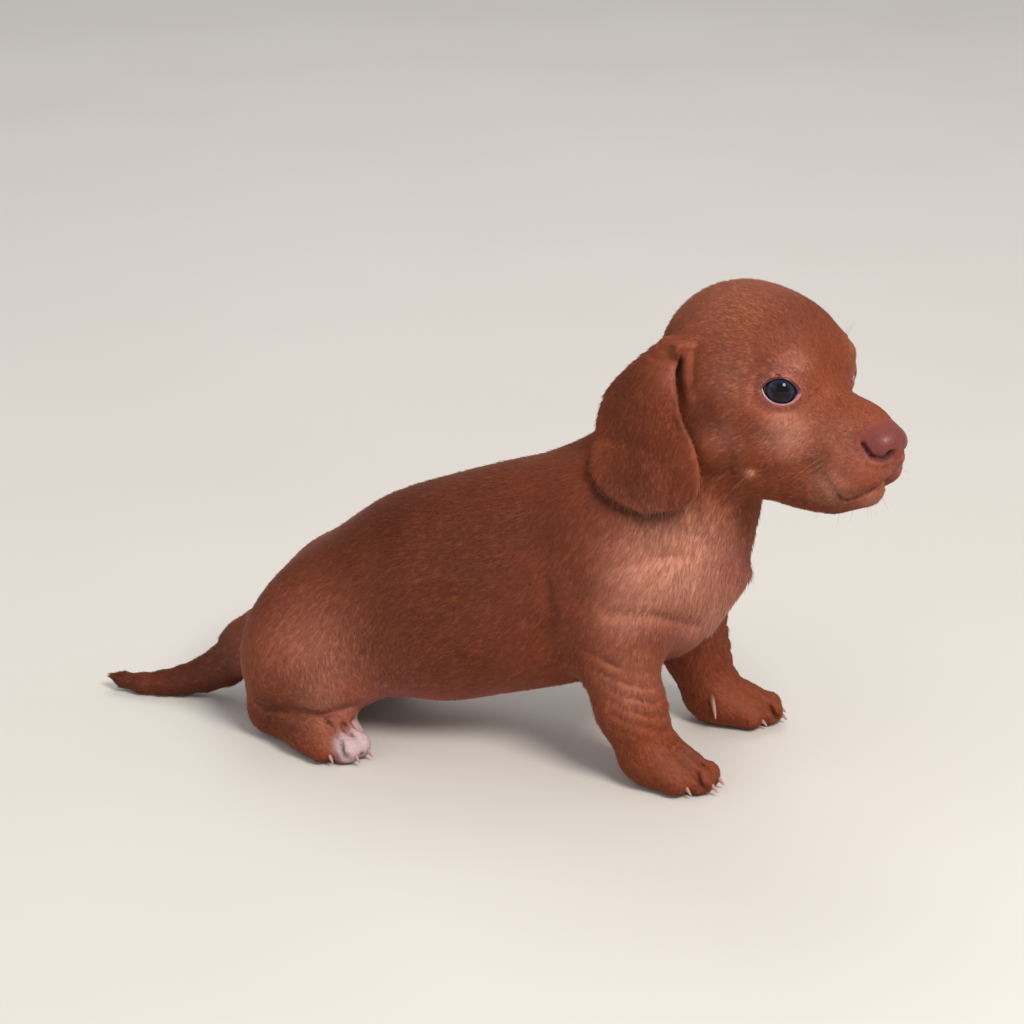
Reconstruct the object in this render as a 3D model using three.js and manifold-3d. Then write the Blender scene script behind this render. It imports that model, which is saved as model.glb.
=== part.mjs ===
// A dachshund puppy sitting back on its hind feet, as a still model at life size.
// Millimetres, +X towards the chest, +Y to the animal's left, +Z up; the floor is z = 0.
import * as THREE from "three";
import { mergeVertices } from "three/addons/utils/BufferGeometryUtils.js";
import Module from "manifold-3d";

const wasm = await Module();
wasm.setup();

// Driving sizes
const GAP = 0.3; // clear space between two parts that touch
const BACK_HEIGHT = 115; // floor to the top of the shoulders
const CHEST_WIDTH = 68;
const HIP_WIDTH = 78;
const SKULL = { length: 67, width: 57, height: 64 };
const MUZZLE_REACH = 60; // middle of the skull to the front of the upper lip
const HEAD_PLACE = [96, -4, 149]; // middle of the skull
const HEAD_TURN = 25; // degrees to the animal's right
const HEAD_ROLL = 5; // degrees, right side up
const MIDDLE = 2; // middle of the whole length, from where the trunk is measured
const EYE_RADIUS = 7;
const LID_THICKNESS = 1.5;
const EAR_THICKNESS = 2.6;
const CLAW_LENGTH = 4;

// Colours of the coat and the bare parts
const COAT = 0x8a4526;
const COAT_DARK = 0x6d3018;
const LEATHER = 0x7c3b34;
const LID_SKIN = 0x8f5a55;
const EYE_COLOUR = 0x1c2233;
const CLAW_COLOUR = 0xb08a78;

const RIGHT = -1;
const LEFT = 1;
const degrees = (value) => THREE.MathUtils.degToRad(value);
const clamp = THREE.MathUtils.clamp;
const point = (x, y, z) => new THREE.Vector3(x, y, z);

// Distance fields: a form is a function of a point that is below zero inside the form

function blend(a, b, reach) {
  const near = Math.max(reach - Math.abs(a - b), 0) / reach;
  return Math.min(a, b) - (near * near * reach) / 4;
}

function egg([cx, cy, cz], [rx, ry, rz], turn = 0) {
  const cos = Math.cos(degrees(turn));
  const sin = Math.sin(degrees(turn));
  return (p) => {
    const dx = p.x - cx;
    const dy = p.y - cy;
    const x = (dx * cos + dy * sin) / rx;
    const y = (dy * cos - dx * sin) / ry;
    const z = (p.z - cz) / rz;
    const near = Math.hypot(x, y, z);
    const slope = Math.hypot(x / rx, y / ry, z / rz);
    return slope === 0 ? -Math.min(rx, ry, rz) : (near * (near - 1)) / slope;
  };
}

// A rounded length from one [x, y, z, radius] to the next
function taper([ax, ay, az, ar], [bx, by, bz, br]) {
  const dx = bx - ax;
  const dy = by - ay;
  const dz = bz - az;
  const span = dx * dx + dy * dy + dz * dz;
  return (p) => {
    const along = clamp(((p.x - ax) * dx + (p.y - ay) * dy + (p.z - az) * dz) / span, 0, 1);
    const away = Math.hypot(p.x - ax - along * dx, p.y - ay - along * dy, p.z - az - along * dz);
    return away - ar - along * (br - ar);
  };
}

function chain(stations, reach = 5) {
  const lengths = stations.slice(1).map((station, i) => taper(stations[i], station));
  return (p) => lengths.reduce((d, form) => blend(d, form(p), reach), Infinity);
}

function joined(forms, reach) {
  return (p) => forms.reduce((d, form) => blend(d, form(p), reach), Infinity);
}

// A smooth curve through values given at rising places
function smoothThrough(places, values) {
  const slopes = values.map((value, i) => {
    const a = Math.max(i - 1, 0);
    const b = Math.min(i + 1, values.length - 1);
    return (values[b] - values[a]) / (places[b] - places[a]);
  });
  return (place) => {
    const at = clamp(place, places[0], places.at(-1));
    let i = 0;
    while (i < places.length - 2 && places[i + 1] < at) i += 1;
    const width = places[i + 1] - places[i];
    const t = (at - places[i]) / width;
    const rise = t * t * (3 - 2 * t);
    const lead = t * (1 - t) * (1 - t) * width * slopes[i];
    const trail = t * t * (t - 1) * width * slopes[i + 1];
    return values[i] + (values[i + 1] - values[i]) * rise + lead + trail;
  };
}

// A form along x whose sections are rounded, wider below than above by the share pear
function lofted(stations, pear) {
  const places = stations.map((station) => station.x);
  const [topAt, bottomAt, halfAt] = ["top", "bottom", "half"].map((key) =>
    smoothThrough(places, stations.map((station) => station[key])),
  );
  const power = 2.3;
  return (p) => {
    const x = clamp(p.x, places[0], places.at(-1));
    const middle = (topAt(x) + bottomAt(x)) / 2;
    const tall = (topAt(x) - bottomAt(x)) / 2;
    const up = (p.z - middle) / tall;
    const half = halfAt(x) * (1 - pear * clamp(up, -1, 1));
    const size = (Math.abs(up) ** power + (Math.abs(p.y) / half) ** power) ** (1 / power);
    const radial = (size - 1) * Math.min(tall, half);
    const beyond = Math.abs(p.x - x);
    return beyond > 0 ? Math.hypot(Math.max(radial, 0), beyond) + Math.min(radial, 0) : radial;
  };
}

// A hollow pressed along a run of points, on both sides of the animal where asked
function groove(stations, width, depth, bothSides = false) {
  const course = stations.slice(1).map((station, i) => taper([...stations[i], 0], [...station, 0]));
  const probe = point(0, 0, 0);
  return (p) => {
    probe.set(p.x, bothSides ? Math.abs(p.y) : p.y, p.z);
    const away = Math.min(...course.map((length) => length(probe)));
    return away > 3 * width ? 0 : depth * Math.exp(-((away / width) ** 2));
  };
}

function mirrored(form) {
  const probe = point(0, 0, 0);
  return (p) => form(probe.set(p.x, Math.abs(p.y), p.z));
}

// Head, in its own frame: x forward, y to its left, z up, from the middle of the skull

const headTurn = new THREE.Matrix4()
  .makeRotationZ(-degrees(HEAD_TURN))
  .multiply(new THREE.Matrix4().makeRotationX(-degrees(HEAD_ROLL)))
  .setPosition(...HEAD_PLACE);
const intoHead = headTurn.clone().invert();

const lipFront = MUZZLE_REACH;
const eyePlace = [24, 16, 1.2];
const eyeAim = 55; // degrees from straight ahead
const mouthLine = [
  [lipFront + 1, 0, -24.5],
  [lipFront - 3, 8, -28.5],
  [lipFront - 8, 11, -33.5],
  [lipFront - 12, 13, -31],
  [lipFront - 17, 15.5, -26],
];

const headForms = joined(
  [
    egg([-1.5, 0, 0], [SKULL.length / 2, SKULL.width / 2, SKULL.height / 2]),
    egg([12, 0, 7.5], [23, 23.5, 20]),
    mirrored(egg([25.5, 14, 8], [7.5, 8, 6.5])),
    mirrored(egg([15, 18, -9], [16, 8, 9])),
    mirrored(egg([2, 16, -20], [18, 11, 15])),
    lofted(
      [
        { x: 14, top: 12, bottom: -37, half: 21 },
        { x: 28, top: 8, bottom: -39, half: 17.5 },
        { x: 36, top: 4, bottom: -39.5, half: 14 },
        { x: 45, top: -0.5, bottom: -38, half: 12 },
        { x: lipFront - 7, top: -4, bottom: -33, half: 10.5 },
        { x: lipFront - 2, top: -8, bottom: -27, half: 8.5 },
      ],
      0.18,
    ),
    mirrored(taper([4, 12, -35, 7], [40, 5, -34.5, 6])),
    taper([28, 0, -35, 7.5], [lipFront - 8, 0, -31.5, 6]),
  ],
  7,
);
const lips = mirrored(
  joined(
    [
      egg([lipFront - 13, 8.5, -24.5], [11, 5.5, 8.5]),
      egg([lipFront - 5, 4.5, -21.5], [6, 5.5, 6.5]),
    ],
    5,
  ),
);
const faceMarks = [
  groove(mouthLine, 1.5, 1.5, true),
  groove([[lipFront + 2, 0, -17], [lipFront + 2, 0, -25]], 1.1, 0.8),
  groove([[40, 15, 2], [37, 17, -7]], 3, 1.2, true),
  groove([[2, 28, -12], [8, 26, -24]], 5, 1.5, true),
  groove([[26, 0, 20], [36, 0, 6]], 6, 1.2),
  groove([[30, 23, 1.5], [29, 23, 1]], 8, 3, true),
];
// The front root of the ear stands up as a fold beside the hollow of the ear
const earFold = mirrored(taper([-8, 26, 9, 2.6], [-6, 27, -7, 2]));
const earHollow = groove([[-14, 28, 4], [-12, 29, -8]], 4, 2.6, true);

const noseForms = joined(
  [
    egg([lipFront - 3.5, 0, -13.2], [8, 7.6, 6.5]),
    mirrored(egg([lipFront - 4.5, 4.6, -14.5], [6.5, 4.4, 5])),
    taper([lipFront - 2, 0, -16, 4], [lipFront - 1, 0, -19.5, 2]),
  ],
  3,
);
const nostril = groove(
  [
    [lipFront + 2.8, 3.2, -16],
    [lipFront + 1, 6, -18],
    [lipFront - 2, 8, -17.6],
    [lipFront - 6.5, 9, -14],
  ],
  1.2,
  1.8,
  true,
);
const noseGroove = groove([[lipFront + 5, 0, -10], [lipFront + 1, 0, -20]], 0.9, 0.8);

const headProbe = point(0, 0, 0);
function headField(p) {
  const q = headProbe.copy(p).applyMatrix4(intoHead);
  let d = blend(headForms(q), lips(q), 4);
  d = blend(d, earFold(q), 3);
  d += faceMarks.reduce((sum, mark) => sum + mark(q), 0) + earHollow(q);
  return d;
}

const noseField = (q) => noseForms(q) + nostril(q) + noseGroove(q);

// Trunk, neck and tail

const back = BACK_HEIGHT;
const halfChest = CHEST_WIDTH / 2;
const halfHip = HIP_WIDTH / 2;
const trunk = lofted(
  [
    { x: -94, top: 35, bottom: 15, half: 10 },
    { x: -87, top: 46, bottom: 10, half: 20 },
    { x: -76, top: 60, bottom: 8, half: halfHip - 9 },
    { x: -59, top: 73.5, bottom: 10, half: halfHip - 4 },
    { x: -40, top: 87.5, bottom: 14, half: halfHip - 2 },
    { x: -12, top: 99, bottom: 13.5, half: halfHip - 1 },
    { x: 12, top: 107, bottom: 19, half: halfHip - 2 },
    { x: 38, top: back - 1, bottom: 26, half: halfChest },
    { x: 58, top: back, bottom: 33, half: halfChest - 3 },
    { x: 74, top: back - 8, bottom: 41, half: halfChest - 9 },
    { x: 83, top: 92, bottom: 50, half: 15 },
  ],
  0.1,
);
const neck = chain([
  [54, 0, 84, 31],
  [70, -1, 105, 29.5],
  [79, -3, 126, 27],
]);
const breast = taper([70, 0, 60, 12.5], [73, 0, 86, 20]);
const shoulder = mirrored(chain([[46, 20, 96, 12], [64, 22, 72, 14], [52, 25, 56, 14]], 8));
const haunch = mirrored(
  joined([egg([-62, 20, 34], [24, 15, 26]), chain([[-70, 24, 28, 16], [-52, 32, 24, 12]])], 10),
);
const tail = chain(
  [
    [-84, 0, 28, 12],
    [-95, 0, 22.5, 10.4],
    [-105, 0, 13.6, 7.9],
    [-113, -1, 9.3, 6.4],
    [-121, -2, 6.4, 5.3],
    [-129, -3, 4.4, 4.6],
    [-137, -4, 3.6, 3.9],
    [-145, -4, 4.4, 2.7],
    [-151, -4, 5.6, 1.2],
  ],
  4,
);

// Legs: each is a run of [x, y, z, radius] stations, and each foot a pad with four toes

const foreLegs = {
  [RIGHT]: { elbow: [53, -29, 50], wrist: [66, -31, 17], foot: [76, -31], turn: -8 },
  [LEFT]: { elbow: [66, 28, 50], wrist: [76, 30, 17], foot: [87, 31], turn: 14 },
};
const hindLegs = {
  [RIGHT]: { heel: [-76, -26], foot: [-52, -37], turn: -22 },
  [LEFT]: { heel: [-76, 26], foot: [-52, 37], turn: 22 },
};

const TOES = [
  { across: -8.2, ahead: 3, size: 5.2 },
  { across: -3, ahead: 10, size: 5.8 },
  { across: 3, ahead: 10, size: 5.8 },
  { across: 8.2, ahead: 3, size: 5.2 },
];
const toeRise = 5.2;

function footPoint([x, y], turn, ahead, across, z) {
  const cos = Math.cos(degrees(turn));
  const sin = Math.sin(degrees(turn));
  return [x + ahead * cos - across * sin, y + ahead * sin + across * cos, z];
}

function foot(place, turn) {
  const at = (ahead, across, z) => footPoint(place, turn, ahead, across, z);
  const pad = egg(at(-3, 0, 8), [14, 11, 9.5], turn);
  const toes = TOES.map(({ across, ahead, size }) =>
    taper([...at(ahead - 7, across * 0.8, 8), size], [...at(ahead + 2, across, toeRise), size]),
  );
  const gaps = [-5.6, 0, 5.6].map((across) =>
    groove([at(2, across * 0.8, 16), at(10, across, 11), at(15, across * 1.1, 3)], 1.5, 1.7),
  );
  const toeForms = joined(toes, 2);
  return (p) => blend(pad(p), toeForms(p), 4) + gaps.reduce((sum, gap) => sum + gap(p), 0);
}

function foreLeg(side) {
  const { elbow, wrist, foot: place, turn } = foreLegs[side];
  const limb = chain(
    [
      [elbow[0] + 4, elbow[1], elbow[2] + 8, 15],
      [elbow[0] + 3, elbow[1], elbow[2] - 6, 13.6],
      [wrist[0] - 5, wrist[1], wrist[2] + 12, 12.4],
      [wrist[0] + 1, wrist[1], wrist[2] - 3, 11.6],
    ],
    6,
  );
  const paw = foot(place, turn);
  return (p) => blend(limb(p), paw(p), 6);
}

function hindLeg(side) {
  const { heel, foot: place, turn } = hindLegs[side];
  const shank = taper([heel[0], heel[1], 10, 10], [place[0] - 4, place[1], 10, 9.5]);
  const paw = foot(place, turn);
  return (p) => blend(shank(p), paw(p), 5);
}

const legFields = [foreLeg(RIGHT), foreLeg(LEFT), hindLeg(RIGHT), hindLeg(LEFT)];
const flesh = joined([trunk, neck, breast, shoulder, haunch], 16);

function bodyField(p) {
  let d = blend(flesh(p), tail(p), 8);
  for (const leg of legFields) d = blend(d, leg(p), 7);
  return blend(d, headField(p), 7);
}

// Surface of a field, by cells: a cell holds one vertex for each sheet of the surface that passes through it,
// and each grid edge that the surface crosses gives a quad between the four cells around it

const CELL_EDGES = [];
for (let corner = 0; corner < 8; corner += 1)
  for (const bit of [1, 2, 4]) if (!(corner & bit)) CELL_EDGES.push([corner, corner | bit]);
const edgeOf = (a, b) => CELL_EDGES.findIndex(([m, n]) => m === Math.min(a, b) && n === Math.max(a, b));
const CELL_FACES = [0, 1, 2].flatMap((axis) => {
  const u = 1 << (axis + 1) % 3;
  const v = 1 << (axis + 2) % 3;
  return [0, 1 << axis].map((base) => [base, base | u, base | u | v, base | v]);
});

// Sheet number of each of the twelve edges, for one pattern of corners inside the form
function sheetsOf(pattern) {
  const inside = (corner) => ((pattern >> corner) & 1) === 1;
  const label = CELL_EDGES.map(([a, b], e) => (inside(a) === inside(b) ? -1 : e));
  for (const ring of CELL_FACES) {
    const sides = ring.map((corner, i) => edgeOf(corner, ring[(i + 1) % 4]));
    const crossed = sides.filter((e) => label[e] >= 0);
    const pairs = crossed.length === 2 ? [crossed] : [];
    if (crossed.length === 4)
      ring.forEach((corner, i) => {
        if (inside(corner)) pairs.push([sides[i], sides[(i + 3) % 4]]);
      });
    for (const [a, b] of pairs) {
      const [kept, dropped] = [label[a], label[b]];
      label.forEach((value, e) => {
        if (value === dropped) label[e] = kept;
      });
    }
  }
  return label;
}
const SHEETS = Array.from({ length: 256 }, (unused, pattern) => sheetsOf(pattern));

function surface(field, box, cell, level = 0, place = (q) => q) {
  const size = box.getSize(point(0, 0, 0));
  const [nx, ny, nz] = [size.x, size.y, size.z].map((length) => Math.ceil(length / cell) + 1);
  const steps = [1, nx, nx * ny];
  const corner = new Float64Array(nx * ny * nz * 3);
  const value = new Float64Array(nx * ny * nz);
  const p = point(0, 0, 0);
  const eachNode = (visit) => {
    for (let k = 0; k < nz; k += 1)
      for (let j = 0; j < ny; j += 1) for (let i = 0; i < nx; i += 1) visit(i, j, k, (k * ny + j) * nx + i);
  };
  eachNode((i, j, k, n) => {
    p.set(box.min.x + i * cell, box.min.y + j * cell, box.min.z + k * cell);
    place(p);
    corner.set([p.x, p.y, p.z], 3 * n);
    const rim = i === 0 || j === 0 || k === 0 || i === nx - 1 || j === ny - 1 || k === nz - 1;
    value[n] = rim ? Math.max(field(p) - level, cell / 2) : field(p) - level;
  });

  const cornerStep = Array.from({ length: 8 }, (unused, c) => (c & 1) + ((c >> 1) & 1) * nx + (c >> 2) * nx * ny);
  const patternOf = (n) => cornerStep.reduce((bits, step, c) => bits | ((value[n + step] < 0 ? 1 : 0) << c), 0);
  const vertices = new Map();
  const positions = [];
  const spare = point(0, 0, 0);
  eachNode((i, j, k, n) => {
    if (i === nx - 1 || j === ny - 1 || k === nz - 1) return;
    const pattern = patternOf(n);
    if (pattern === 0 || pattern === 255) return;
    const sheets = SHEETS[pattern];
    for (const sheet of new Set(sheets)) {
      if (sheet < 0) continue;
      const middle = point(0, 0, 0);
      let crossings = 0;
      CELL_EDGES.forEach(([a, b], e) => {
        if (sheets[e] !== sheet) return;
        const [from, to] = [n + cornerStep[a], n + cornerStep[b]];
        const t = value[from] / (value[from] - value[to]);
        for (const axis of [0, 1, 2]) {
          const along = THREE.MathUtils.lerp(corner[3 * from + axis], corner[3 * to + axis], t);
          middle.setComponent(axis, middle.getComponent(axis) + along);
        }
        crossings += 1;
      });
      middle.divideScalar(crossings);
      drawOnto(field, level, middle, spare, cell / 2);
      vertices.set(n * 12 + sheet, positions.length / 3);
      positions.push(middle.x, middle.y, middle.z);
    }
  });

  const vertexAt = (cellNode, edgeStart, axis) => {
    const c = cornerStep.indexOf(edgeStart - cellNode);
    return vertices.get(cellNode * 12 + SHEETS[patternOf(cellNode)][edgeOf(c, c | (1 << axis))]);
  };
  const index = [];
  eachNode((i, j, k, n) => {
    for (const axis of [0, 1, 2]) {
      const inside = value[n] < 0;
      if ([i, j, k][axis] + 1 === [nx, ny, nz][axis] || inside === value[n + steps[axis]] < 0) continue;
      const u = steps[(axis + 1) % 3];
      const v = steps[(axis + 2) % 3];
      const ring = [n - u - v, n - v, n, n - u].map((cellNode) => vertexAt(cellNode, n, axis));
      if (!inside) ring.reverse();
      index.push(...splitQuad(ring, positions));
    }
  });
  const geometry = new THREE.BufferGeometry();
  geometry.setAttribute("position", new THREE.Float32BufferAttribute(positions, 3));
  geometry.setIndex(index);
  return geometry;
}

// Moves a point along the field's slope until it lies on the surface, by no more than reach in all
function drawOnto(field, level, middle, q, reach) {
  const start = middle.clone();
  const step = 0.2;
  for (let round = 0; round < 3; round += 1) {
    const here = field(middle) - level;
    const slope = [0, 1, 2].map((axis) => {
      q.copy(middle).setComponent(axis, middle.getComponent(axis) + step);
      return (field(q) - level - here) / step;
    });
    const steep = slope[0] ** 2 + slope[1] ** 2 + slope[2] ** 2;
    if (steep < 1e-4) return;
    q.set(...slope).multiplyScalar(-here / steep);
    middle.add(q);
    q.subVectors(middle, start);
    if (q.length() > reach) middle.copy(start).add(q.setLength(reach));
  }
}

function splitQuad([a, b, c, d], positions) {
  const apart = (m, n) =>
    Math.hypot(...[0, 1, 2].map((axis) => positions[3 * m + axis] - positions[3 * n + axis]));
  return apart(a, c) < apart(b, d) ? [a, b, c, a, c, d] : [a, b, d, b, c, d];
}

// Solids

function solid(geometry) {
  const bare = geometry.clone();
  bare.deleteAttribute("normal");
  bare.deleteAttribute("uv");
  const merged = mergeVertices(bare, 1e-4);
  return new wasm.Manifold(
    new wasm.Mesh({
      numProp: 3,
      vertProperties: merged.attributes.position.array,
      triVerts: new Uint32Array(merged.index.array),
    }),
  );
}

function biggest(made) {
  return made.decompose().reduce((best, body) => (body.volume() > best.volume() ? body : best));
}

function geometryOf(made) {
  const mesh = made.getMesh();
  const geometry = new THREE.BufferGeometry();
  geometry.setAttribute("position", new THREE.BufferAttribute(mesh.vertProperties, 3));
  geometry.setIndex(new THREE.BufferAttribute(mesh.triVerts, 1));
  const faceted = geometry.toNonIndexed();
  faceted.computeVertexNormals();
  return faceted;
}

const coatMaterial = new THREE.MeshStandardMaterial({ color: COAT, roughness: 0.8 });
const earMaterial = new THREE.MeshStandardMaterial({ color: COAT_DARK, roughness: 0.75 });
const leatherMaterial = new THREE.MeshStandardMaterial({ color: LEATHER, roughness: 0.35 });
const lidMaterial = new THREE.MeshStandardMaterial({ color: LID_SKIN, roughness: 0.5 });
const eyeMaterial = new THREE.MeshStandardMaterial({ color: EYE_COLOUR, roughness: 0.05 });
const clawMaterial = new THREE.MeshStandardMaterial({ color: CLAW_COLOUR, roughness: 0.4 });

// Ear: a cupped flap between a front and a back edge, laid clear of the head, neck and shoulder

const earFrontEdge = [[-9, 12], [-12, 2], [-6, -13], [1.5, -25], [3.5, -37], [-4, -46]];
const earBackEdge = [[-20, 11], [-30, 1], [-40, -13], [-41, -30], [-29, -43], [-14, -49]];
const EAR_STEPS = { across: 8, down: 12 };

function earSheet(side) {
  const edges = [earFrontEdge, earBackEdge].map(
    (edge) => new THREE.CatmullRomCurve3(edge.map(([x, z]) => point(x, 0, z)), false, "centripetal"),
  );
  const clear = EAR_THICKNESS / 2 + 2 * GAP;
  const rows = [];
  for (let down = 0; down <= EAR_STEPS.down; down += 1) {
    const t = down / EAR_STEPS.down;
    const row = [];
    for (let across = 0; across <= EAR_STEPS.across; across += 1) {
      const s = across / EAR_STEPS.across;
      const spot = edges[0].getPoint(t).lerp(edges[1].getPoint(t), s);
      const bow = Math.sin(Math.PI * s) * (1 + 3 * Math.sin(Math.PI * Math.min(t * 1.4, 1)));
      spot.y = side * (24 + 7 * Math.sin(Math.PI * Math.min(t, 0.5)) + bow);
      spot.applyMatrix4(headTurn);
      const outward = point(0, side, 0).transformDirection(headTurn);
      if (down > 0) for (let round = 0; round < 8; round += 1)
        spot.addScaledVector(outward, Math.max(clear - bodyField(spot), 0));
      row.push(spot);
    }
    rows.push(row);
  }
  return rows;
}

// Closes a sheet of points into a flap that is thickest in the middle
function flap(rows, thickness, outward) {
  const down = rows.length;
  const across = rows[0].length;
  const at = (i, j) => rows[clamp(i, 0, down - 1)][clamp(j, 0, across - 1)];
  const positions = [];
  for (const face of [1, -1])
    for (let i = 0; i < down; i += 1)
      for (let j = 0; j < across; j += 1) {
        const normal = point(0, 0, 0).crossVectors(
          at(i + 1, j).clone().sub(at(i - 1, j)),
          at(i, j + 1).clone().sub(at(i, j - 1)),
        );
        if (normal.dot(outward) < 0) normal.negate();
        const edge = Math.min(j, across - 1 - j, down - 1 - i);
        const thick = thickness * [0.5, 0.8, 1][Math.min(edge, 2)];
        positions.push(...at(i, j).clone().addScaledVector(normal.normalize(), (face * thick) / 2));
      }
  const count = down * across;
  const index = [];
  const quad = (a, b, c, d) => index.push(a, b, c, a, c, d);
  for (let i = 0; i < down - 1; i += 1)
    for (let j = 0; j < across - 1; j += 1) {
      const a = i * across + j;
      quad(a, a + 1, a + across + 1, a + across);
      quad(count + a, count + a + across, count + a + across + 1, count + a + 1);
    }
  const rim = [];
  for (let j = 0; j < across - 1; j += 1) rim.push(j);
  for (let i = 0; i < down - 1; i += 1) rim.push(i * across + across - 1);
  for (let j = across - 1; j > 0; j -= 1) rim.push((down - 1) * across + j);
  for (let i = down - 1; i > 0; i -= 1) rim.push(i * across);
  rim.forEach((a, i) => {
    const b = rim[(i + 1) % rim.length];
    quad(b, a, count + a, count + b);
  });
  const geometry = new THREE.BufferGeometry();
  geometry.setAttribute("position", new THREE.Float32BufferAttribute(positions, 3));
  geometry.setIndex(index);
  return turnedOut(geometry);
}

function volumeOf(geometry) {
  const p = geometry.attributes.position;
  const index = geometry.index.array;
  const corner = [0, 1, 2].map(() => point(0, 0, 0));
  let volume = 0;
  for (let i = 0; i < index.length; i += 3) {
    corner.forEach((c, j) => c.fromBufferAttribute(p, index[i + j]));
    volume += corner[0].dot(corner[1].cross(corner[2])) / 6;
  }
  return volume;
}

function turnedOut(geometry) {
  if (volumeOf(geometry) < 0) geometry.index.array.reverse();
  return geometry;
}

// Eye: a ball with the bulge of the cornea, and the lids as a shell round it with an almond opening

const OPENING = { width: 13, height: 9.4 };

function ball(radius, place, turn = null) {
  const sphere = new THREE.SphereGeometry(radius, 14, 9);
  sphere.rotateX(Math.PI / 2).translate(...place);
  return solid(turn ? sphere.applyMatrix4(turn) : sphere);
}

// The eye's own frame: x out along its aim, y across the opening, z up
function eyeFrame(side) {
  const place = new THREE.Matrix4().makeTranslation(eyePlace[0], side * eyePlace[1], eyePlace[2]);
  return headTurn.clone().multiply(place).multiply(new THREE.Matrix4().makeRotationZ(side * degrees(eyeAim)));
}

function eyeball(side) {
  const frame = eyeFrame(side);
  return ball(EYE_RADIUS, [0, 0, 0], frame).add(ball(EYE_RADIUS * 0.74, [EYE_RADIUS * 0.33, 0, 0], frame));
}

function frontOfEye(frame, from) {
  return solid(new THREE.BoxGeometry(20, 30, 30).translate(from + 10, 0, 0).applyMatrix4(frame));
}

function lids(side) {
  const frame = eyeFrame(side);
  const radius = (OPENING.width ** 2 / OPENING.height + OPENING.height) / 4;
  const arc = (up) => {
    const disc = new THREE.CylinderGeometry(radius, radius, 20, 18).rotateZ(Math.PI / 2);
    return solid(disc.translate(12, 0, up * (radius - OPENING.height / 2)).applyMatrix4(frame));
  };
  return ball(EYE_RADIUS + LID_THICKNESS, [0, 0, 0], frame)
    .intersect(frontOfEye(frame, 1))
    .subtract(ball(EYE_RADIUS + GAP, [0, 0, 0], frame))
    .subtract(ball(EYE_RADIUS * 0.74 + GAP, [EYE_RADIUS * 0.33, 0, 0], frame))
    .subtract(arc(1).intersect(arc(-1)));
}

function socket(side) {
  const frame = eyeFrame(side);
  return ball(EYE_RADIUS + GAP, [0, 0, 0], frame).add(
    ball(EYE_RADIUS + LID_THICKNESS + GAP, [0, 0, 0], frame).intersect(frontOfEye(frame, 1 - GAP)),
  );
}

// Claw: a horn that curves down from the tip of its toe
function claw(base, heading, droop, length) {
  const RINGS = 3;
  const SIDES = 5;
  const width = length * 0.24;
  const positions = [];
  for (let ring = 0; ring <= RINGS; ring += 1) {
    const t = ring / RINGS;
    const middle = base.clone().addScaledVector(heading, length * t);
    middle.z -= droop * t * t;
    const radius = width * Math.sqrt(1 - 0.94 * t);
    const across = point(-heading.y, heading.x, 0).normalize();
    const up = point(0, 0, 0).crossVectors(heading, across);
    for (let side = 0; side < SIDES; side += 1) {
      const angle = (2 * Math.PI * side) / SIDES;
      const spot = middle.clone().addScaledVector(across, radius * Math.cos(angle) * 0.75);
      positions.push(...spot.addScaledVector(up, radius * Math.sin(angle)));
    }
  }
  const index = [];
  for (let ring = 0; ring < RINGS; ring += 1)
    for (let side = 0; side < SIDES; side += 1) {
      const a = ring * SIDES + side;
      const b = ring * SIDES + ((side + 1) % SIDES);
      index.push(a, b, b + SIDES, a, b + SIDES, a + SIDES);
    }
  for (let side = 1; side < SIDES - 1; side += 1) {
    const end = RINGS * SIDES;
    index.push(0, side + 1, side, end, end + side, end + side + 1);
  }
  const geometry = new THREE.BufferGeometry();
  geometry.setAttribute("position", new THREE.Float32BufferAttribute(positions, 3));
  geometry.setIndex(index);
  return solid(turnedOut(geometry));
}

// Parts

const dog = new THREE.Group();

function add(name, made, material) {
  const mesh = new THREE.Mesh(geometryOf(biggest(made)), material);
  mesh.name = name;
  dog.add(mesh);
}

const FAR = 250; // past the animal in every direction
const FACE_CELL = 2.9;
const NOSE_CELL = 1.75;
const box = (low, high) => new THREE.Box3(point(...low), point(...high));

// Everything on the far side of a plane through a place, which leans by tilt degrees from facing +X up to +Z
function beyond(place, tilt, sink = 0) {
  const frame = new THREE.Matrix4().makeRotationY(-degrees(tilt)).setPosition(...place);
  const slab = new THREE.BoxGeometry(FAR, 2 * FAR, 2 * FAR).translate(FAR / 2 + sink, 0, 0);
  return solid(slab.applyMatrix4(frame));
}

const headCut = { place: [81, 0, 115], tilt: 57 };
const neckCut = { place: [69, 0, 97.5], tilt: 52 };
const chestCut = { place: [20, 0, 0], tilt: 0 };
const bellyCut = { place: [-42, 0, 0], tilt: 0 };
const tailCut = { place: [-95, 0, 25], tilt: -14 };
const tailTipCut = { place: [-119, 0, 0], tilt: 0 };

const ahead = ({ place, tilt }) => beyond(place, tilt, GAP / 2);
const behind = ({ place, tilt }) => beyond(place, tilt + 180, GAP / 2);

function room([x0, x1], [y0, y1], [z0, z1], grow = 0) {
  const size = [x1 - x0, y1 - y0, z1 - z0].map((length) => length + 2 * grow);
  return solid(new THREE.BoxGeometry(...size).translate((x0 + x1) / 2, (y0 + y1) / 2, (z0 + z1) / 2));
}
const beside = (side, near) => (side === RIGHT ? [-60, -near] : [near, 60]);
const LEG_ROOMS = {
  foreleg: (side, grow) => room([25, 120], beside(side, 13), [16, 43], grow),
  fore_paw: (side, grow) => room([40, 130], beside(side, 10), [-5, 16 - GAP], grow),
  thigh: (side, grow) => room([-100, -30], beside(side, 27), [17, 70], grow),
  hind_foot: (side, grow) => room([-100, -30], beside(side, 16), [-5, 17 - GAP], grow),
};
const roomNames = Object.keys(LEG_ROOMS);
const aboveFloor = room([-FAR, FAR], [-FAR, FAR], [0, FAR]);

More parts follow.
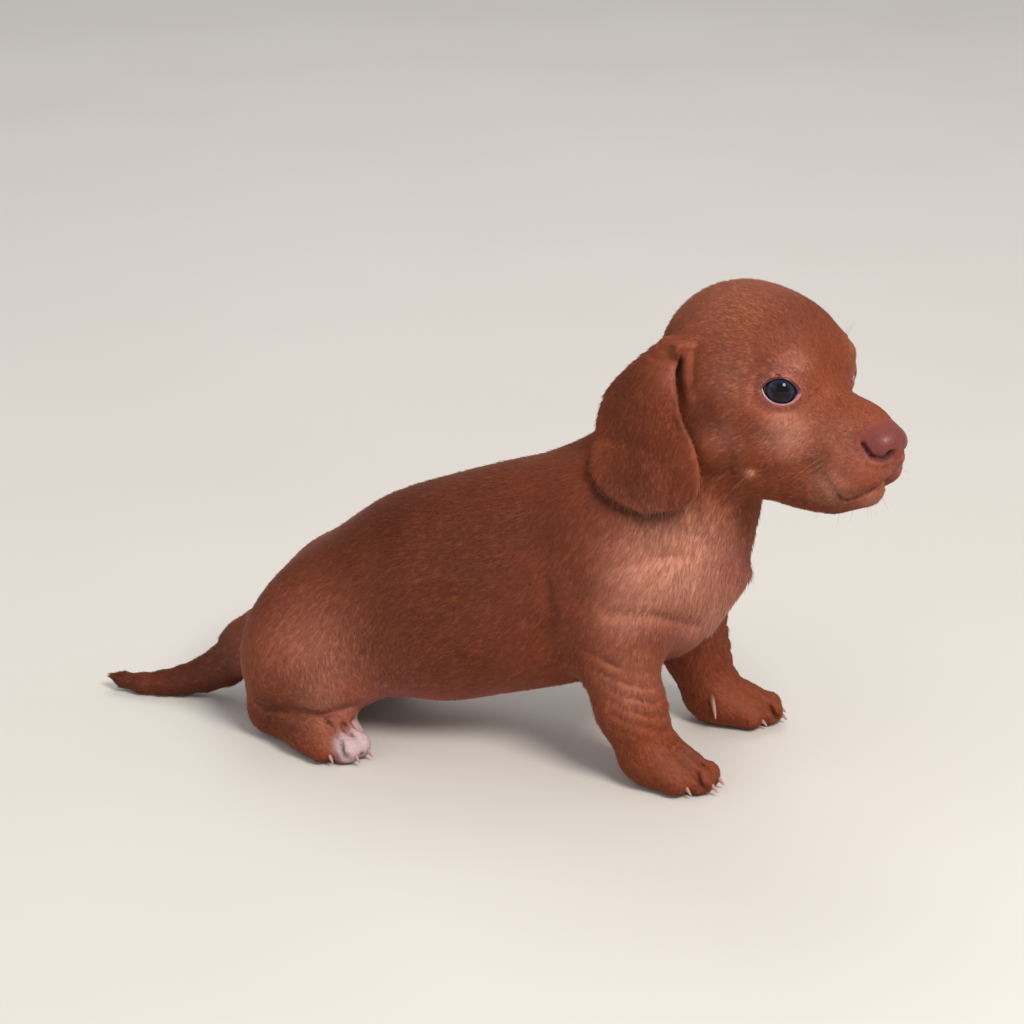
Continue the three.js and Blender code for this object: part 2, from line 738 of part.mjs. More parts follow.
function fleshPart(low, high, cell) {
  return solid(surface(bodyField, box(low, high), cell)).intersect(aboveFloor);
}

function trunkPart(low, high, cell, cuts) {
  let made = fleshPart(low, high, cell);
  for (const cut of cuts) made = made.intersect(cut);
  for (const side of [RIGHT, LEFT])
    for (const name of roomNames) made = made.subtract(LEG_ROOMS[name](side, GAP));
  return made;
}

function headPart(level) {
  const focus = point(38, 0, -12); // where the cells are smallest
  const spread = 5000; // the square of the distance over which they double
  const probe = point(0, 0, 0);
  const inHead = (q) => bodyField(probe.copy(q).applyMatrix4(headTurn));
  const place = (q) => q.multiplyScalar(1 + q.lengthSq() / spread).add(focus);
  const skin = surface(inHead, box([-52, -31, -40], [29, 31, 40]), FACE_CELL, level, place);
  return solid(skin.applyMatrix4(headTurn)).intersect(ahead(headCut));
}

const sideNames = { [RIGHT]: "right", [LEFT]: "left" };
function nosePart(level) {
  const skin = surface(noseField, box([40, -14, -26], [70, 14, -2]), NOSE_CELL, level);
  return solid(skin.applyMatrix4(headTurn));
}

let head = headPart(0).subtract(nosePart(1.5 * GAP));
for (const side of [RIGHT, LEFT]) head = head.subtract(socket(side));
add("head", head, coatMaterial);
add("nose", nosePart(0), leatherMaterial);
const headRoom = headPart(1.5 * GAP);
for (const side of [RIGHT, LEFT]) {
  const outward = point(0, side, 0).transformDirection(headTurn);
  const ear = solid(flap(earSheet(side), EAR_THICKNESS, outward)).subtract(headRoom);
  add("ear_" + sideNames[side], ear, earMaterial);
  add("eye_" + sideNames[side], eyeball(side), eyeMaterial);
  add("eyelids_" + sideNames[side], lids(side), lidMaterial);
}
// Lengths of the trunk: a box round each, its cell, and the cuts that part it from its neighbours
const TRUNK_PARTS = [
  { name: "neck", low: [20, -50, 60], high: [130, 50, 160], cell: 8, cuts: [behind(headCut), ahead(neckCut)] },
  { name: "chest", low: [10, -50, 20], high: [110, 50, 130], cell: 8, cuts: [behind(neckCut), ahead(chestCut)] },
  { name: "belly", low: [-50, -50, 5], high: [30, 50, 125], cell: 11, cuts: [behind(chestCut), ahead(bellyCut)] },
  { name: "hips", low: [-110, -52, -5], high: [-35, 52, 100], cell: 8, cuts: [behind(bellyCut), ahead(tailCut)] },
  { name: "tail_root", low: [-125, -20, -5], high: [-85, 20, 45], cell: 5, cuts: [behind(tailCut), ahead(tailTipCut)] },
  { name: "tail_tip", low: [-158, -20, -5], high: [-110, 12, 20], cell: 3.6, cuts: [behind(tailTipCut)] },
];
for (const { name, low, high, cell, cuts } of TRUNK_PARTS) add(name, trunkPart(low, high, cell, cuts), coatMaterial);

const legCells = { foreleg: 6, fore_paw: 3.6, thigh: 7.5, hind_foot: 4 };
for (const side of [RIGHT, LEFT]) {
  for (const name of roomNames) {
    const { min, max } = LEG_ROOMS[name](side, legCells[name]).boundingBox();
    const made = fleshPart(min, max, legCells[name]).intersect(LEG_ROOMS[name](side, 0));
    add(name + "_" + sideNames[side], made, coatMaterial);
  }
}

// A claw at the end of each toe, and the dewclaw on the inner side of each foreleg, a little above the foot
const DEWCLAW = { ahead: 4, inward: 10.5, up: 13.5, heading: [0.45, 0.8, -0.4] };
for (const side of [RIGHT, LEFT]) {
  for (const [limb, leg] of [["fore", foreLegs[side]], ["hind", hindLegs[side]]]) {
    const [x, y] = leg.foot;
    const pawRoom = solid(surface(bodyField, box([x - 26, y - 24, -5], [x + 28, y + 24, 24]), 2.5, 2 * GAP));
    const addClaw = (number, base, heading, length) => {
      const made = claw(base, heading, 2.4, length).subtract(pawRoom);
      add(`${limb}_claw_${sideNames[side]}_${number}`, made, clawMaterial);
    };
    TOES.forEach(({ across, ahead: toe, size }, i) => {
      const splay = leg.turn + across * 1.5;
      const base = point(...footPoint(leg.foot, leg.turn, toe + size - 1.5, across, toeRise + 1));
      addClaw(i + 1, base, point(Math.cos(degrees(splay)), Math.sin(degrees(splay)), -0.1), CLAW_LENGTH + 2);
    });
    if (limb === "fore") {
      const base = point(leg.wrist[0] + DEWCLAW.ahead, leg.wrist[1] - side * DEWCLAW.inward, DEWCLAW.up);
      const [forward, inward, down] = DEWCLAW.heading;
      addClaw(5, base, point(forward, -side * inward, down), CLAW_LENGTH + 2);
    }
  }
}

dog.position.x = -MIDDLE;

export default dog;
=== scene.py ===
"""A dachshund puppy sitting back on its hind feet, as a still model at life size.

Forms are worked out in millimetres, with +X towards the chest, +Y to the animal's left and +Z up.
A form is a function of an array of points that is below zero inside the form.
"""

import bpy
import numpy as np
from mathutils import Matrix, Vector
from mathutils.bvhtree import BVHTree


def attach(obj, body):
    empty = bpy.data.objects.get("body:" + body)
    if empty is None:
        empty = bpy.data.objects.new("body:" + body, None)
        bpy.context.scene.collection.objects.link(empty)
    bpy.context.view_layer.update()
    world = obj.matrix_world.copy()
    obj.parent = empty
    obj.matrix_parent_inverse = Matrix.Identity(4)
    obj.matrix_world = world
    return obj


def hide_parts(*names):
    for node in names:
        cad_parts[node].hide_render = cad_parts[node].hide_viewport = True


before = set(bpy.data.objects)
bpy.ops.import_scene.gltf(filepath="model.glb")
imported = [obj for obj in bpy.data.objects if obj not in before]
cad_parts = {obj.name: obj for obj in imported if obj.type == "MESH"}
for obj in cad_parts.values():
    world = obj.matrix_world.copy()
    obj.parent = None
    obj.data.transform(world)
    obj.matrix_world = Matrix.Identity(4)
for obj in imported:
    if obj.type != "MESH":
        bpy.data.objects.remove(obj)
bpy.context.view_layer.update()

# Driving sizes, in millimetres and degrees, as in the solids
BACK_HEIGHT = 115
CHEST_WIDTH = 68
HIP_WIDTH = 78
SKULL = (67, 57, 64)
MUZZLE_REACH = 60
HEAD_PLACE = (96, -4, 149)
HEAD_TURN = 25
HEAD_ROLL = 5
MIDDLE = 2  # where the frame's origin lies along x
EYE_RADIUS = 7
EAR_THICKNESS = 2.6
GAP = 0.3
CLAW_LENGTH = 4
EYE_PLACE = (24, 16, 1.2)
EYE_AIM = 55
OPENING = {"width": 13, "height": 9.4}

# Coat
COAT_DEPTH = 1.0
SHORT_COAT_DEPTH = 0.5
TUFTS = 330_000
COAT_PIECES = 8
ROOT_DEPTH = 0.15
TUFT_RIDGE = 2.24  # height of a tuft at its root, in half widths
PATCH = 0.003  # size of a tuft on the UV map
NOSE_RISE = 0.35  # how far the leather of the nose stands above the skin under it
SEED = 11

RIGHT, LEFT = -1, 1
SIDE_NAMES = {RIGHT: "right", LEFT: "left"}
MM = 0.001


# Forms

def length(vectors):
    return np.sqrt(np.einsum("...i,...i->...", vectors, vectors))


def unit(vectors):
    return vectors / np.maximum(length(vectors), 1e-9)[..., None]


def blend(a, b, reach):
    near = np.maximum(reach - np.abs(a - b), 0) / reach
    return np.minimum(a, b) - near * near * reach / 4


def joined(forms, reach):
    def form(p):
        d = forms[0](p)
        for other in forms[1:]:
            d = blend(d, other(p), reach)
        return d
    return form


def egg(centre, size, turn=0):
    cos, sin = np.cos(np.radians(turn)), np.sin(np.radians(turn))

    def form(p):
        dx, dy = p[:, 0] - centre[0], p[:, 1] - centre[1]
        q = np.stack([dx * cos + dy * sin, dy * cos - dx * sin, p[:, 2] - centre[2]], 1) / size
        near = length(q)
        return near * (near - 1) / np.maximum(length(q / size), 1e-9)
    return form


def taper(start, end):
    """A rounded length from one (x, y, z, radius) to the next."""
    a, b = np.array(start, float), np.array(end, float)
    span = b[:3] - a[:3]

    def form(p):
        off = p - a[:3]
        along = np.clip(off @ span / (span @ span), 0, 1)
        return length(off - along[:, None] * span) - a[3] - along * (b[3] - a[3])
    return form


def chain(stations, reach=5):
    return joined([taper(a, b) for a, b in zip(stations, stations[1:])], reach)


def mirrored(form):
    """The form given for the left side, on both sides."""
    return lambda p: form(np.stack([p[:, 0], np.abs(p[:, 1]), p[:, 2]], 1))


def smooth_through(places, values):
    """A smooth curve through values given at rising places."""
    places, values = np.array(places, float), np.array(values, float)
    order = np.arange(len(values))
    before, after = np.maximum(order - 1, 0), np.minimum(order + 1, order[-1])
    slopes = (values[after] - values[before]) / (places[after] - places[before])

    def curve(at):
        i = np.clip(np.searchsorted(places, at) - 1, 0, len(places) - 2)
        width = places[i + 1] - places[i]
        t = (at - places[i]) / width
        rise = t * t * (3 - 2 * t)
        bend = t * (1 - t) * (1 - t) * width * slopes[i] + t * t * (t - 1) * width * slopes[i + 1]
        return values[i] + (values[i + 1] - values[i]) * rise + bend
    return curve


def lofted(stations, pear):
    """A form along x through (x, top, bottom, half width), wider below than above by the share pear."""
    places, tops, bottoms, halves = np.array(stations, float).T
    top_at, bottom_at, half_at = (smooth_through(places, values) for values in (tops, bottoms, halves))
    power = 2.3

    def form(p):
        x = np.clip(p[:, 0], places[0], places[-1])
        middle, tall = (top_at(x) + bottom_at(x)) / 2, (top_at(x) - bottom_at(x)) / 2
        up = (p[:, 2] - middle) / tall
        half = half_at(x) * (1 - pear * np.clip(up, -1, 1))
        size = (np.abs(up) ** power + (np.abs(p[:, 1]) / half) ** power) ** (1 / power)
        radial = (size - 1) * np.minimum(tall, half)
        beyond = np.abs(p[:, 0] - x)
        outside = np.hypot(np.maximum(radial, 0), beyond) + np.minimum(radial, 0)
        return np.where(beyond > 0, outside, radial)
    return form


def groove(stations, width, depth):
    """A hollow pressed along a run of points; a depth below zero raises a ridge."""
    course = [taper((*a, 0), (*b, 0)) for a, b in zip(stations, stations[1:])]
    low, high = np.min(stations, 0) - 3 * width, np.max(stations, 0) + 3 * width

    def mark(p):
        hollow = np.zeros(len(p))
        near = np.flatnonzero(((p > low) & (p < high)).all(1))
        if len(near):
            away = np.min([part(p[near]) for part in course], axis=0)
            hollow[near] = depth * np.exp(-(away / width) ** 2)
        return hollow
    return mark


def deepest(marks):
    """The strongest of the marks at each point."""
    return lambda p: np.max([mark(p) for mark in marks], axis=0)


# Head, in its own frame: x forward, y to its left, z up, from the middle of the skull

def turned_head():
    turn, roll = np.radians(-HEAD_TURN), np.radians(-HEAD_ROLL)
    about_z = np.array([[np.cos(turn), -np.sin(turn), 0], [np.sin(turn), np.cos(turn), 0], [0, 0, 1]])
    about_x = np.array([[1, 0, 0], [0, np.cos(roll), -np.sin(roll)], [0, np.sin(roll), np.cos(roll)]])
    return about_z @ about_x


HEAD_AXES = turned_head()


def into_head(p):
    return (p - HEAD_PLACE) @ HEAD_AXES


def out_of_head(q):
    return np.asarray(q, float) @ HEAD_AXES.T + HEAD_PLACE


lip = MUZZLE_REACH
skull_forms = joined(
    [
        egg((-1.5, 0, 0), (SKULL[0] / 2, SKULL[1] / 2, SKULL[2] / 2)),
        egg((12, 0, 7.5), (23, 23.5, 20)),
        mirrored(egg((25.5, 14, 8), (7.5, 8, 6.5))),
        mirrored(egg((15, 18, -9), (16, 8, 9))),
        mirrored(egg((2, 16, -20), (18, 11, 15))),
        lofted(
            [
                (14, 12, -37, 21),
                (28, 8, -39, 17.5),
                (36, 4, -39.5, 14),
                (45, -0.5, -38, 12),
                (lip - 7, -4, -33, 10.5),
                (lip - 2, -8, -27, 8.5),
            ],
            0.18,
        ),
        mirrored(taper((4, 12, -35, 7), (40, 5, -34.5, 6))),
        taper((28, 0, -35, 7.5), (lip - 8, 0, -31.5, 6)),
    ],
    7,
)
lip_forms = [egg((lip - 13, 8.5, -24.5), (11, 5.5, 8.5)), egg((lip - 5, 4.5, -21.5), (6, 5.5, 6.5))]
lips = mirrored(joined(lip_forms, 5))
mouth_line = [
    (lip + 1, 0, -25.5),
    (lip - 1.3, 2.5, -28.3),
    (lip - 3, 5.8, -30.4),
    (lip - 6, 8.3, -32.7),
    (lip - 9.5, 9.8, -34.5),
    (lip - 12, 11.5, -33),
    (lip - 14, 13, -30.6),
    (lip - 17, 14.4, -28),
    (lip - 19.3, 15, -26),
]
nostril_run = [
    (lip - 5.6, 8.8, -13.6),
    (lip - 2, 8.8, -17),
    (lip + 0.2, 6.8, -17.9),
    (lip + 1.8, 4.4, -17.3),
    (lip + 2.2, 3.4, -15.8),
]


MUZZLE_CORE = lip - 16


def sunk(run, depth):
    """The same run of points, moved in from the face towards the core of the muzzle."""
    moved = []
    for x, y, z in run:
        away = np.hypot(MUZZLE_CORE - x, y)
        moved.append((x + (MUZZLE_CORE - x) * depth / away, y - y * depth / away, z))
    return moved


def slit(run, width, depths):
    """A narrow line that holds its strength at each of the depths under the face."""
    return mirrored(deepest([groove(sunk(run, depth), width, 1) for depth in depths]))


def both_sides(*folds):
    """Marks from (run of points, width, depth)."""
    return [mirrored(groove(run, width, depth)) for run, width, depth in folds]


# The crease stops short of the corner of the mouth, where only a soft groove goes on
mouth_crease = slit(mouth_line[:-2], 0.65, (0, 1.2, 2.4, 3.6))
nostril_slit = slit(nostril_run, 0.85, (0, 1.2, 2.4))
FACE_MARKS = both_sides(
    (mouth_line, 1.5, 1.5),
    ([(lip + 2, 0, -17), (lip + 2, 0, -25)], 1.1, 0.8),
    ([(40, 15, 2), (37, 17, -7)], 3, 1.2),
    ([(2, 28, -12), (8, 26, -24)], 5, 1.5),
    ([(26, 0, 20), (36, 0, 6)], 6, 1.2),
    ([(30, 23, 1.5), (29, 23, 1)], 8, 3),
    ([(-14, 28, 4), (-12, 29, -8)], 4, 2.6),
)
# Finer folds: edge of the lips, brow, corner of the eye, lower lid, cheek, muzzle, whisker bump and ear root
FACE_FOLDS = both_sides(
    ([(60, 3, -23.5), (56, 8.5, -26), (51, 11.5, -28.8), (48, 13.4, -27.6)], 2.2, -0.8),
    ([(18, 24.5, 2), (19.5, 24, 6), (22, 23, 9.2), (24.5, 21.7, 12), (29.8, 16.7, 14.3)], 1.2, 1.0),
    ([(36, 10, -0.5), (34.6, 12, -3.3), (33.5, 14.5, -8.3)], 1.3, 1.1),
    ([(19, 25, -4.5), (25, 22.5, -7), (31, 17.5, -6)], 1.2, 0.6),
    ([(40, 14.5, -20), (38, 15, -25)], 3.5, 1.0),
    ([(44, 12, -12), (50, 12.5, -18), (48, 13, -24)], 1.8, 0.35),
    ([(16.9, 20.6, -30.7), (17.4, 20.4, -31)], 1.9, -1.3),
    ([(-6, 27.5, 9), (-5, 28, 0), (-7, 28.5, -7)], 1.6, 1.6),
)
ear_fold = mirrored(taper((-8, 26, 9, 2.6), (-6, 27, -7, 2)))

philtrum = groove([(lip + 5, 0, -10), (lip + 1, 0, -20)], 0.9, 0.8)
nose_forms = joined(
    [
        egg((lip - 3.5, 0, -13.2), (8, 7.6, 6.5)),
        mirrored(egg((lip - 4.5, 4.6, -14.5), (6.5, 4.4, 5))),
        taper((lip - 2, 0, -16, 4), (lip - 1, 0, -19.5, 2)),
    ],
    3,
)
bridge = egg((lip - 14, 0, -11.6), (13, 8.5, 9))
nostril_rim = mirrored(groove([(x, y + 0.6, z - 2) for x, y, z in nostril_run[:4]], 1, -0.5))
nostril_hole = mirrored(groove([(lip + 3, 4, -15.9), (lip - 2, 4.8, -15.6)], 1.2, 2.6))


def nostrils(q):
    return 1.8 * nostril_slit(q) + nostril_hole(q) + nostril_rim(q)


def nose_field(p):
    q = into_head(p)
    return nose_forms(q) + nostrils(q) + philtrum(q)


# Eye, in its own frame: x out along its aim, y across the opening with the tear corner below zero, z up

def eye_axes(side):
    cos, sin = np.cos(np.radians(EYE_AIM)), side * np.sin(np.radians(EYE_AIM))
    return np.array([[cos, -sin, 0], [sin, cos, 0], [0, 0, 1]])


def into_eye(q):
    """From the head's frame to the frame of the eye on the same side, both sides as the left one."""
    folded = np.stack([q[:, 0], np.abs(q[:, 1]), q[:, 2]], 1)
    return (folded - EYE_PLACE) @ eye_axes(LEFT)


IRIS_RADIUS = 5.6
CORNEA = {"radius": EYE_RADIUS * 0.74, "ahead": EYE_RADIUS * 0.33}
LENS_RADIUS = (OPENING["width"] ** 2 / OPENING["height"] + OPENING["height"]) / 4


def eye_form(e):
    return np.minimum(length(e) - EYE_RADIUS, length(e - (CORNEA["ahead"], 0, 0)) - CORNEA["radius"])


def tear_drop(y):
    """How far the opening is drawn down on the side of the tear corner."""
    return 0.1 * np.maximum(-y, 0)


def opening_form(e):
    """An almond between two arcs, open to the front."""
    off = LENS_RADIUS - OPENING["height"] / 2
    z = e[:, 2] + tear_drop(e[:, 1])
    almond = np.maximum(np.hypot(e[:, 1], z - off), np.hypot(e[:, 1], z + off)) - LENS_RADIUS
    return np.maximum(almond, 2 - e[:, 0])


def with_lids(d, q):
    e = into_eye(q)
    lid = length(e) - EYE_RADIUS - 1.15 + 0.45 * np.exp(-((e[:, 2] - 6.2) / 0.8) ** 2)
    lid = np.maximum(lid, -1 - e[:, 0])
    d = blend(d, lid, 2.5)
    d = -blend(-d, eye_form(e) - 0.15, 0.3)
    return -blend(-d, opening_form(e), 0.8)


# Trunk, neck and tail

trunk = lofted(
    [
        (-94, 35, 15, 10),
        (-87, 46, 10, 20),
        (-76, 60, 8, HIP_WIDTH / 2 - 9),
        (-59, 73.5, 10, HIP_WIDTH / 2 - 4),
        (-40, 87.5, 14, HIP_WIDTH / 2 - 2),
        (-12, 99, 13.5, HIP_WIDTH / 2 - 1),
        (12, 107, 19, HIP_WIDTH / 2 - 2),
        (38, BACK_HEIGHT - 1, 26, CHEST_WIDTH / 2),
        (58, BACK_HEIGHT, 33, CHEST_WIDTH / 2 - 3),
        (74, BACK_HEIGHT - 8, 41, CHEST_WIDTH / 2 - 9),
        (83, 92, 50, 15),
    ],
    0.1,
)
neck = chain([(54, 0, 84, 31), (70, -1, 105, 29.5), (79, -3, 126, 27)])
breast = taper((70, 0, 60, 12.5), (73, 0, 86, 20))
shoulder = mirrored(chain([(46, 20, 96, 12), (64, 22, 72, 14), (52, 25, 56, 14)], 8))
haunch_forms = [egg((-62, 20, 34), (24, 15, 26)), chain([(-70, 24, 28, 16), (-52, 32, 24, 12)])]
haunch = mirrored(joined(haunch_forms, 10))
flesh = joined([trunk, neck, breast, shoulder, haunch], 16)
tail = chain(
    [
        (-84, 0, 28, 12),
        (-95, 0, 22.5, 10.4),
        (-105, 0, 13.6, 7.9),
        (-113, -1, 9.3, 6.4),
        (-121, -2, 6.4, 5.3),
        (-129, -3, 4.4, 4.6),
        (-137, -4, 3.6, 3.9),
        (-145, -4, 4.4, 2.7),
        (-151, -4, 5.6, 1.2),
    ],
    4,
)

# Legs: each foreleg is a run of stations, and each foot a pad with four toes

FORE_LEGS = {
    RIGHT: {"elbow": (53, -29, 50), "wrist": (66, -31, 17), "foot": (76, -31), "turn": -8},
    LEFT: {"elbow": (66, 28, 50), "wrist": (76, 30, 17), "foot": (87, 31), "turn": 14},
}
HIND_LEGS = {
    RIGHT: {"heel": (-76, -26), "foot": (-52, -37), "turn": -22},
    LEFT: {"heel": (-76, 26), "foot": (-52, 37), "turn": 22},
}
TOES = [(-8.2, 3, 5.2), (-3, 10, 5.8), (3, 10, 5.8), (8.2, 3, 5.2)]  # across, ahead, size
TOE_RISE = 5.2
TOE_GAPS = (-5.6, 0, 5.6)
DEWCLAW = {"ahead": 4, "inward": 10.5, "up": 13.5, "heading": (0.45, 0.8, -0.4)}


def foot_point(leg, ahead, across, z):
    cos, sin = np.cos(np.radians(leg["turn"])), np.sin(np.radians(leg["turn"]))
    x, y = leg["foot"]
    return (x + ahead * cos - across * sin, y + ahead * sin + across * cos, z)


def gap_run(leg, across, start, bend):
    """Points down between two toes, with the start and the bend given as (ahead, up)."""
    return [
        foot_point(leg, start[0], across * 0.8, start[1]),
        foot_point(leg, bend[0], across, bend[1]),
        foot_point(leg, 15, across * 1.1, 3),
    ]


def foot(leg):
    pad = egg(foot_point(leg, -3, 0, 8), (14, 11, 9.5), leg["turn"])
    toes = joined(
        [
            taper((*foot_point(leg, ahead - 7, across * 0.8, 8), size),
                  (*foot_point(leg, ahead + 2, across, TOE_RISE), size))
            for across, ahead, size in TOES
        ],
        2,
    )
    gaps = [
        groove(gap_run(leg, across, (2, 16), (10, 11)), width, depth)
        for across in TOE_GAPS for width, depth in ((1.5, 1.7), (0.9, 1.5))
    ]
    return lambda p: blend(pad(p), toes(p), 4) + sum(gap(p) for gap in gaps)


def fore_leg(side):
    leg = FORE_LEGS[side]
    (ex, ey, ez), (wx, wy, wz) = leg["elbow"], leg["wrist"]
    limb = chain(
        [
            (ex + 4, ey, ez + 8, 15),
            (ex + 3, ey, ez - 6, 13.6),
            (wx - 5, wy, wz + 12, 12.4),
            (wx + 1, wy, wz - 3, 11.6),
        ],
        6,
    )
    paw = foot(leg)
    return lambda p: blend(limb(p), paw(p), 6)


def hind_leg(side):
    leg = HIND_LEGS[side]
    shank = taper((*leg["heel"], 10, 10), (leg["foot"][0] - 4, leg["foot"][1], 10, 9.5))
    paw = foot(leg)
    return lambda p: blend(shank(p), paw(p), 5)


# Folds of the skin on the neck, chest and limbs

def leg_wrinkles(side):
    """Rings of loose skin round the front and the outside of a foreleg."""
    leg = FORE_LEGS[side]
    (ex, ey, ez), (wx, wy, wz) = leg["elbow"], leg["wrist"]
    rings = []
    for share, depth in ((0.02, 1.2), (0.2, 0.9), (0.36, 1.1), (0.52, 0.9), (0.68, 1.1), (0.84, 0.9)):
        x, y, z = ex + share * (wx - ex), ey + share * (wy - ey), ez + share * (wz - ez)
        ring = [
            (x - 8, y + side * 13, z + 4),
            (x + 3, y + side * 14, z),
            (x + 13, y + side * 7, z - 5),
            (x + 15, y - side * 2, z - 6),
        ]
        rings.append(groove(ring, 1.4, depth))
    return rings


def body_folds(side):
    """Folds of the neck, breast, shoulder, elbow and hock of one side."""
    ahead = FORE_LEGS[side]["elbow"][0] - FORE_LEGS[RIGHT]["elbow"][0]
    folds = [
        ([(80.7, 29.7, 108), (83, 28.3, 100), (84, 26.6, 91)], 2.4, 2.0),
        ([(97, 14, 97), (95, 9, 80)], 2.6, 1.4),
        ([(53, 38.5, 83), (66.6, 36.5, 86.4), (81, 28.6, 87.6)], 2.4, 1.4),
        (
            [
                (ahead + 54, 42, 68),
                (ahead + 63, 41.4, 67.7),
                (ahead + 69, 38.8, 67),
                (ahead + 78, 29.4, 62.4),
                (ahead + 82, 17, 56),
            ],
            2.2,
            2.3,
        ),
        ([(ahead + 30, 35, 74), (ahead + 32, 36, 62), (ahead + 28.5, 35, 46)], 2.2, 3.2),
        ([(-77, 36, 15), (-60, 43, 16.5), (-45, 40, 18.6)], 1.8, 2.4),
        ([(-78, 33, 15), (-60, 40, 16.5), (-43, 36, 19.5)], 2.2, 1.6),
    ]
    on_side = [groove([(x, side * y, z) for x, y, z in run], width, depth) for run, width, depth in folds]
    return on_side + leg_wrinkles(side)


BODY_FOLDS = body_folds(RIGHT) + body_folds(LEFT)
LEG_FORMS = {
    "fore_right": fore_leg(RIGHT),
    "fore_left": fore_leg(LEFT),
    "hind_right": hind_leg(RIGHT),
    "hind_left": hind_leg(LEFT),
}


def head_field(q, fine):
    d = blend(skull_forms(q), lips(q), 4)
    d = blend(d, ear_fold(q), 3)
    d += sum(mark(q) for mark in FACE_MARKS)
    return d + 1.4 * mouth_crease(q) + sum(fold(q) for fold in FACE_FOLDS) if fine else d


def body_field(p, fine=False):
    """The whole animal without its ears; the finer folds are left out where only its bulk is wanted."""
    d = blend(flesh(p), tail(p), 8)
    for form in LEG_FORMS.values():
        d = blend(d, form(p), 7)
    d = blend(d, head_field(into_head(p), fine), 7)
    return d + sum(fold(p) for fold in BODY_FOLDS) if fine else d


# Ears: a cupped sheet between a front and a back edge, as a height over the plane of its outline

EAR_FRONT_EDGE = [(-9, 12), (-12, 2), (-6, -13), (1.5, -25), (3.5, -37), (-4, -46)]
EAR_BACK_EDGE = [(-20, 11), (-30, 1), (-40, -13), (-41, -30), (-29, -43), (-14, -49)]
EAR_STEPS = {"across": 32, "down": 48}


def curve_through(points, shares):
    """A rounded curve through points, spaced so that close points don't loop."""
    points = np.array(points, float)
    points = np.vstack([2 * points[0] - points[1], points, 2 * points[-1] - points[-2]])
    reach = (np.asarray(shares) * (len(points) - 3))[:, None]
    i = np.clip(reach.astype(int), 0, len(points) - 4)
    t = reach - i
    a, b, c, d = (points[i[:, 0] + k] for k in range(4))
    ab, bc, cd = (np.sqrt(length(n - m))[:, None] for m, n in ((a, b), (b, c), (c, d)))
    leave = ((b - a) / ab - (c - a) / (ab + bc) + (c - b) / bc) * bc
    enter = ((c - b) / bc - (d - b) / (bc + cd) + (d - c) / cd) * bc
    bend = (3 * (c - b) - 2 * leave - enter) * t ** 2 + (2 * (b - c) + leave + enter) * t ** 3
    return b + leave * t + bend


def ear_sheet(side):
    """Points of the ear in the head's frame, one row for each step down from its root."""
    t = np.linspace(0, 1, EAR_STEPS["down"] + 1)
    s = np.linspace(0, 1, EAR_STEPS["across"] + 1)[None, :, None]
    front, back = (curve_through(edge, t)[:, None] for edge in (EAR_FRONT_EDGE, EAR_BACK_EDGE))
    spots = front + (back - front) * s
    t = t[:, None]
    s = s[..., 0]
    bow = np.sin(np.pi * s) * (1 + 3 * np.sin(np.pi * np.minimum(t * 1.4, 1)))
    height = side * (24 + 7 * np.sin(np.pi * np.minimum(t, 0.5)) + bow)
    sheet = np.stack([spots[..., 0], height, spots[..., 1]], -1)
    clear = EAR_THICKNESS / 2 + 2 * GAP
    for _ in range(8):
        short = np.maximum(clear - body_field(out_of_head(sheet.reshape(-1, 3))).reshape(height.shape), 0)
        sheet[1:, :, 1] += side * short[1:]
    return sheet


class Ear:
    """Looks up the height of the sheet and the distance to its outline over a grid of x and z."""
    low = np.array([-52.0, -58.0])
    pitch = 0.75
    counts = (84, 100)

    def __init__(self, side):
        sheet = ear_sheet(side)
        rows, columns = sheet.shape[:2]
        spots = sheet.reshape(-1, 3)
        flat = spots * (1, 0, 1)
        faces = [
            (i * columns + j, i * columns + j + 1, (i + 1) * columns + j + 1, (i + 1) * columns + j)
            for i in range(rows - 1) for j in range(columns - 1)
        ]
        tree = BVHTree.FromPolygons(flat.tolist(), faces)
        edges = (flat[:columns], flat[columns - 1::columns], flat[-columns:][::-1], flat[::columns][::-1])
        rim = np.vstack(edges)
        self.height, self.edge = np.zeros(self.counts), np.zeros(self.counts)
        for i, j in np.ndindex(*self.counts):
            x, z = self.low + self.pitch * np.array([i, j])
            near, _, face, away = tree.find_nearest((x, 0, z))
            corners = [spots[k] for k in faces[face]]
            apart = np.array([np.hypot(near[0] - c[0], near[2] - c[2]) for c in corners])
            weights = 1 / (0.05 + apart) ** 2
            self.height[i, j] = weights @ [c[1] for c in corners] / weights.sum()
            inward = np.sqrt(((rim - (x, 0, z)) ** 2).sum(1).min())
            self.edge[i, j] = -away if away > 0.01 else inward
        slope = np.gradient(self.height, self.pitch)
        self.lean = 1 / np.sqrt(1 + slope[0] ** 2 + slope[1] ** 2)

    def look_up(self, table, q):
        at = (q[:, [0, 2]] - self.low) / self.pitch
        cell = np.clip(at.astype(int), 0, np.array(self.counts) - 2)
        u, v = np.clip(at - cell, 0, 1).T
        i, j = cell.T
        return ((1 - u) * (1 - v) * table[i, j] + u * (1 - v) * table[i + 1, j]
                + (1 - u) * v * table[i, j + 1] + u * v * table[i + 1, j + 1])

    def field(self, q, half):
        away = np.abs(q[:, 1] - self.look_up(self.height, q)) * self.look_up(self.lean, q)
        return np.hypot(away, np.maximum(half - self.look_up(self.edge, q), 0)) - half


EARS = {side: Ear(side) for side in (RIGHT, LEFT)}


def coat_depth(p):
    """How far the skin lies inside the solids: least on the muzzle and the feet."""
    muzzle = np.exp(-(length(p - out_of_head((48, 0, -18))) / 30) ** 2)
    feet = np.exp(-(np.maximum(p[:, 2], 0) / 14) ** 2)
    return COAT_DEPTH - (COAT_DEPTH - SHORT_COAT_DEPTH) * np.maximum(muzzle, feet)


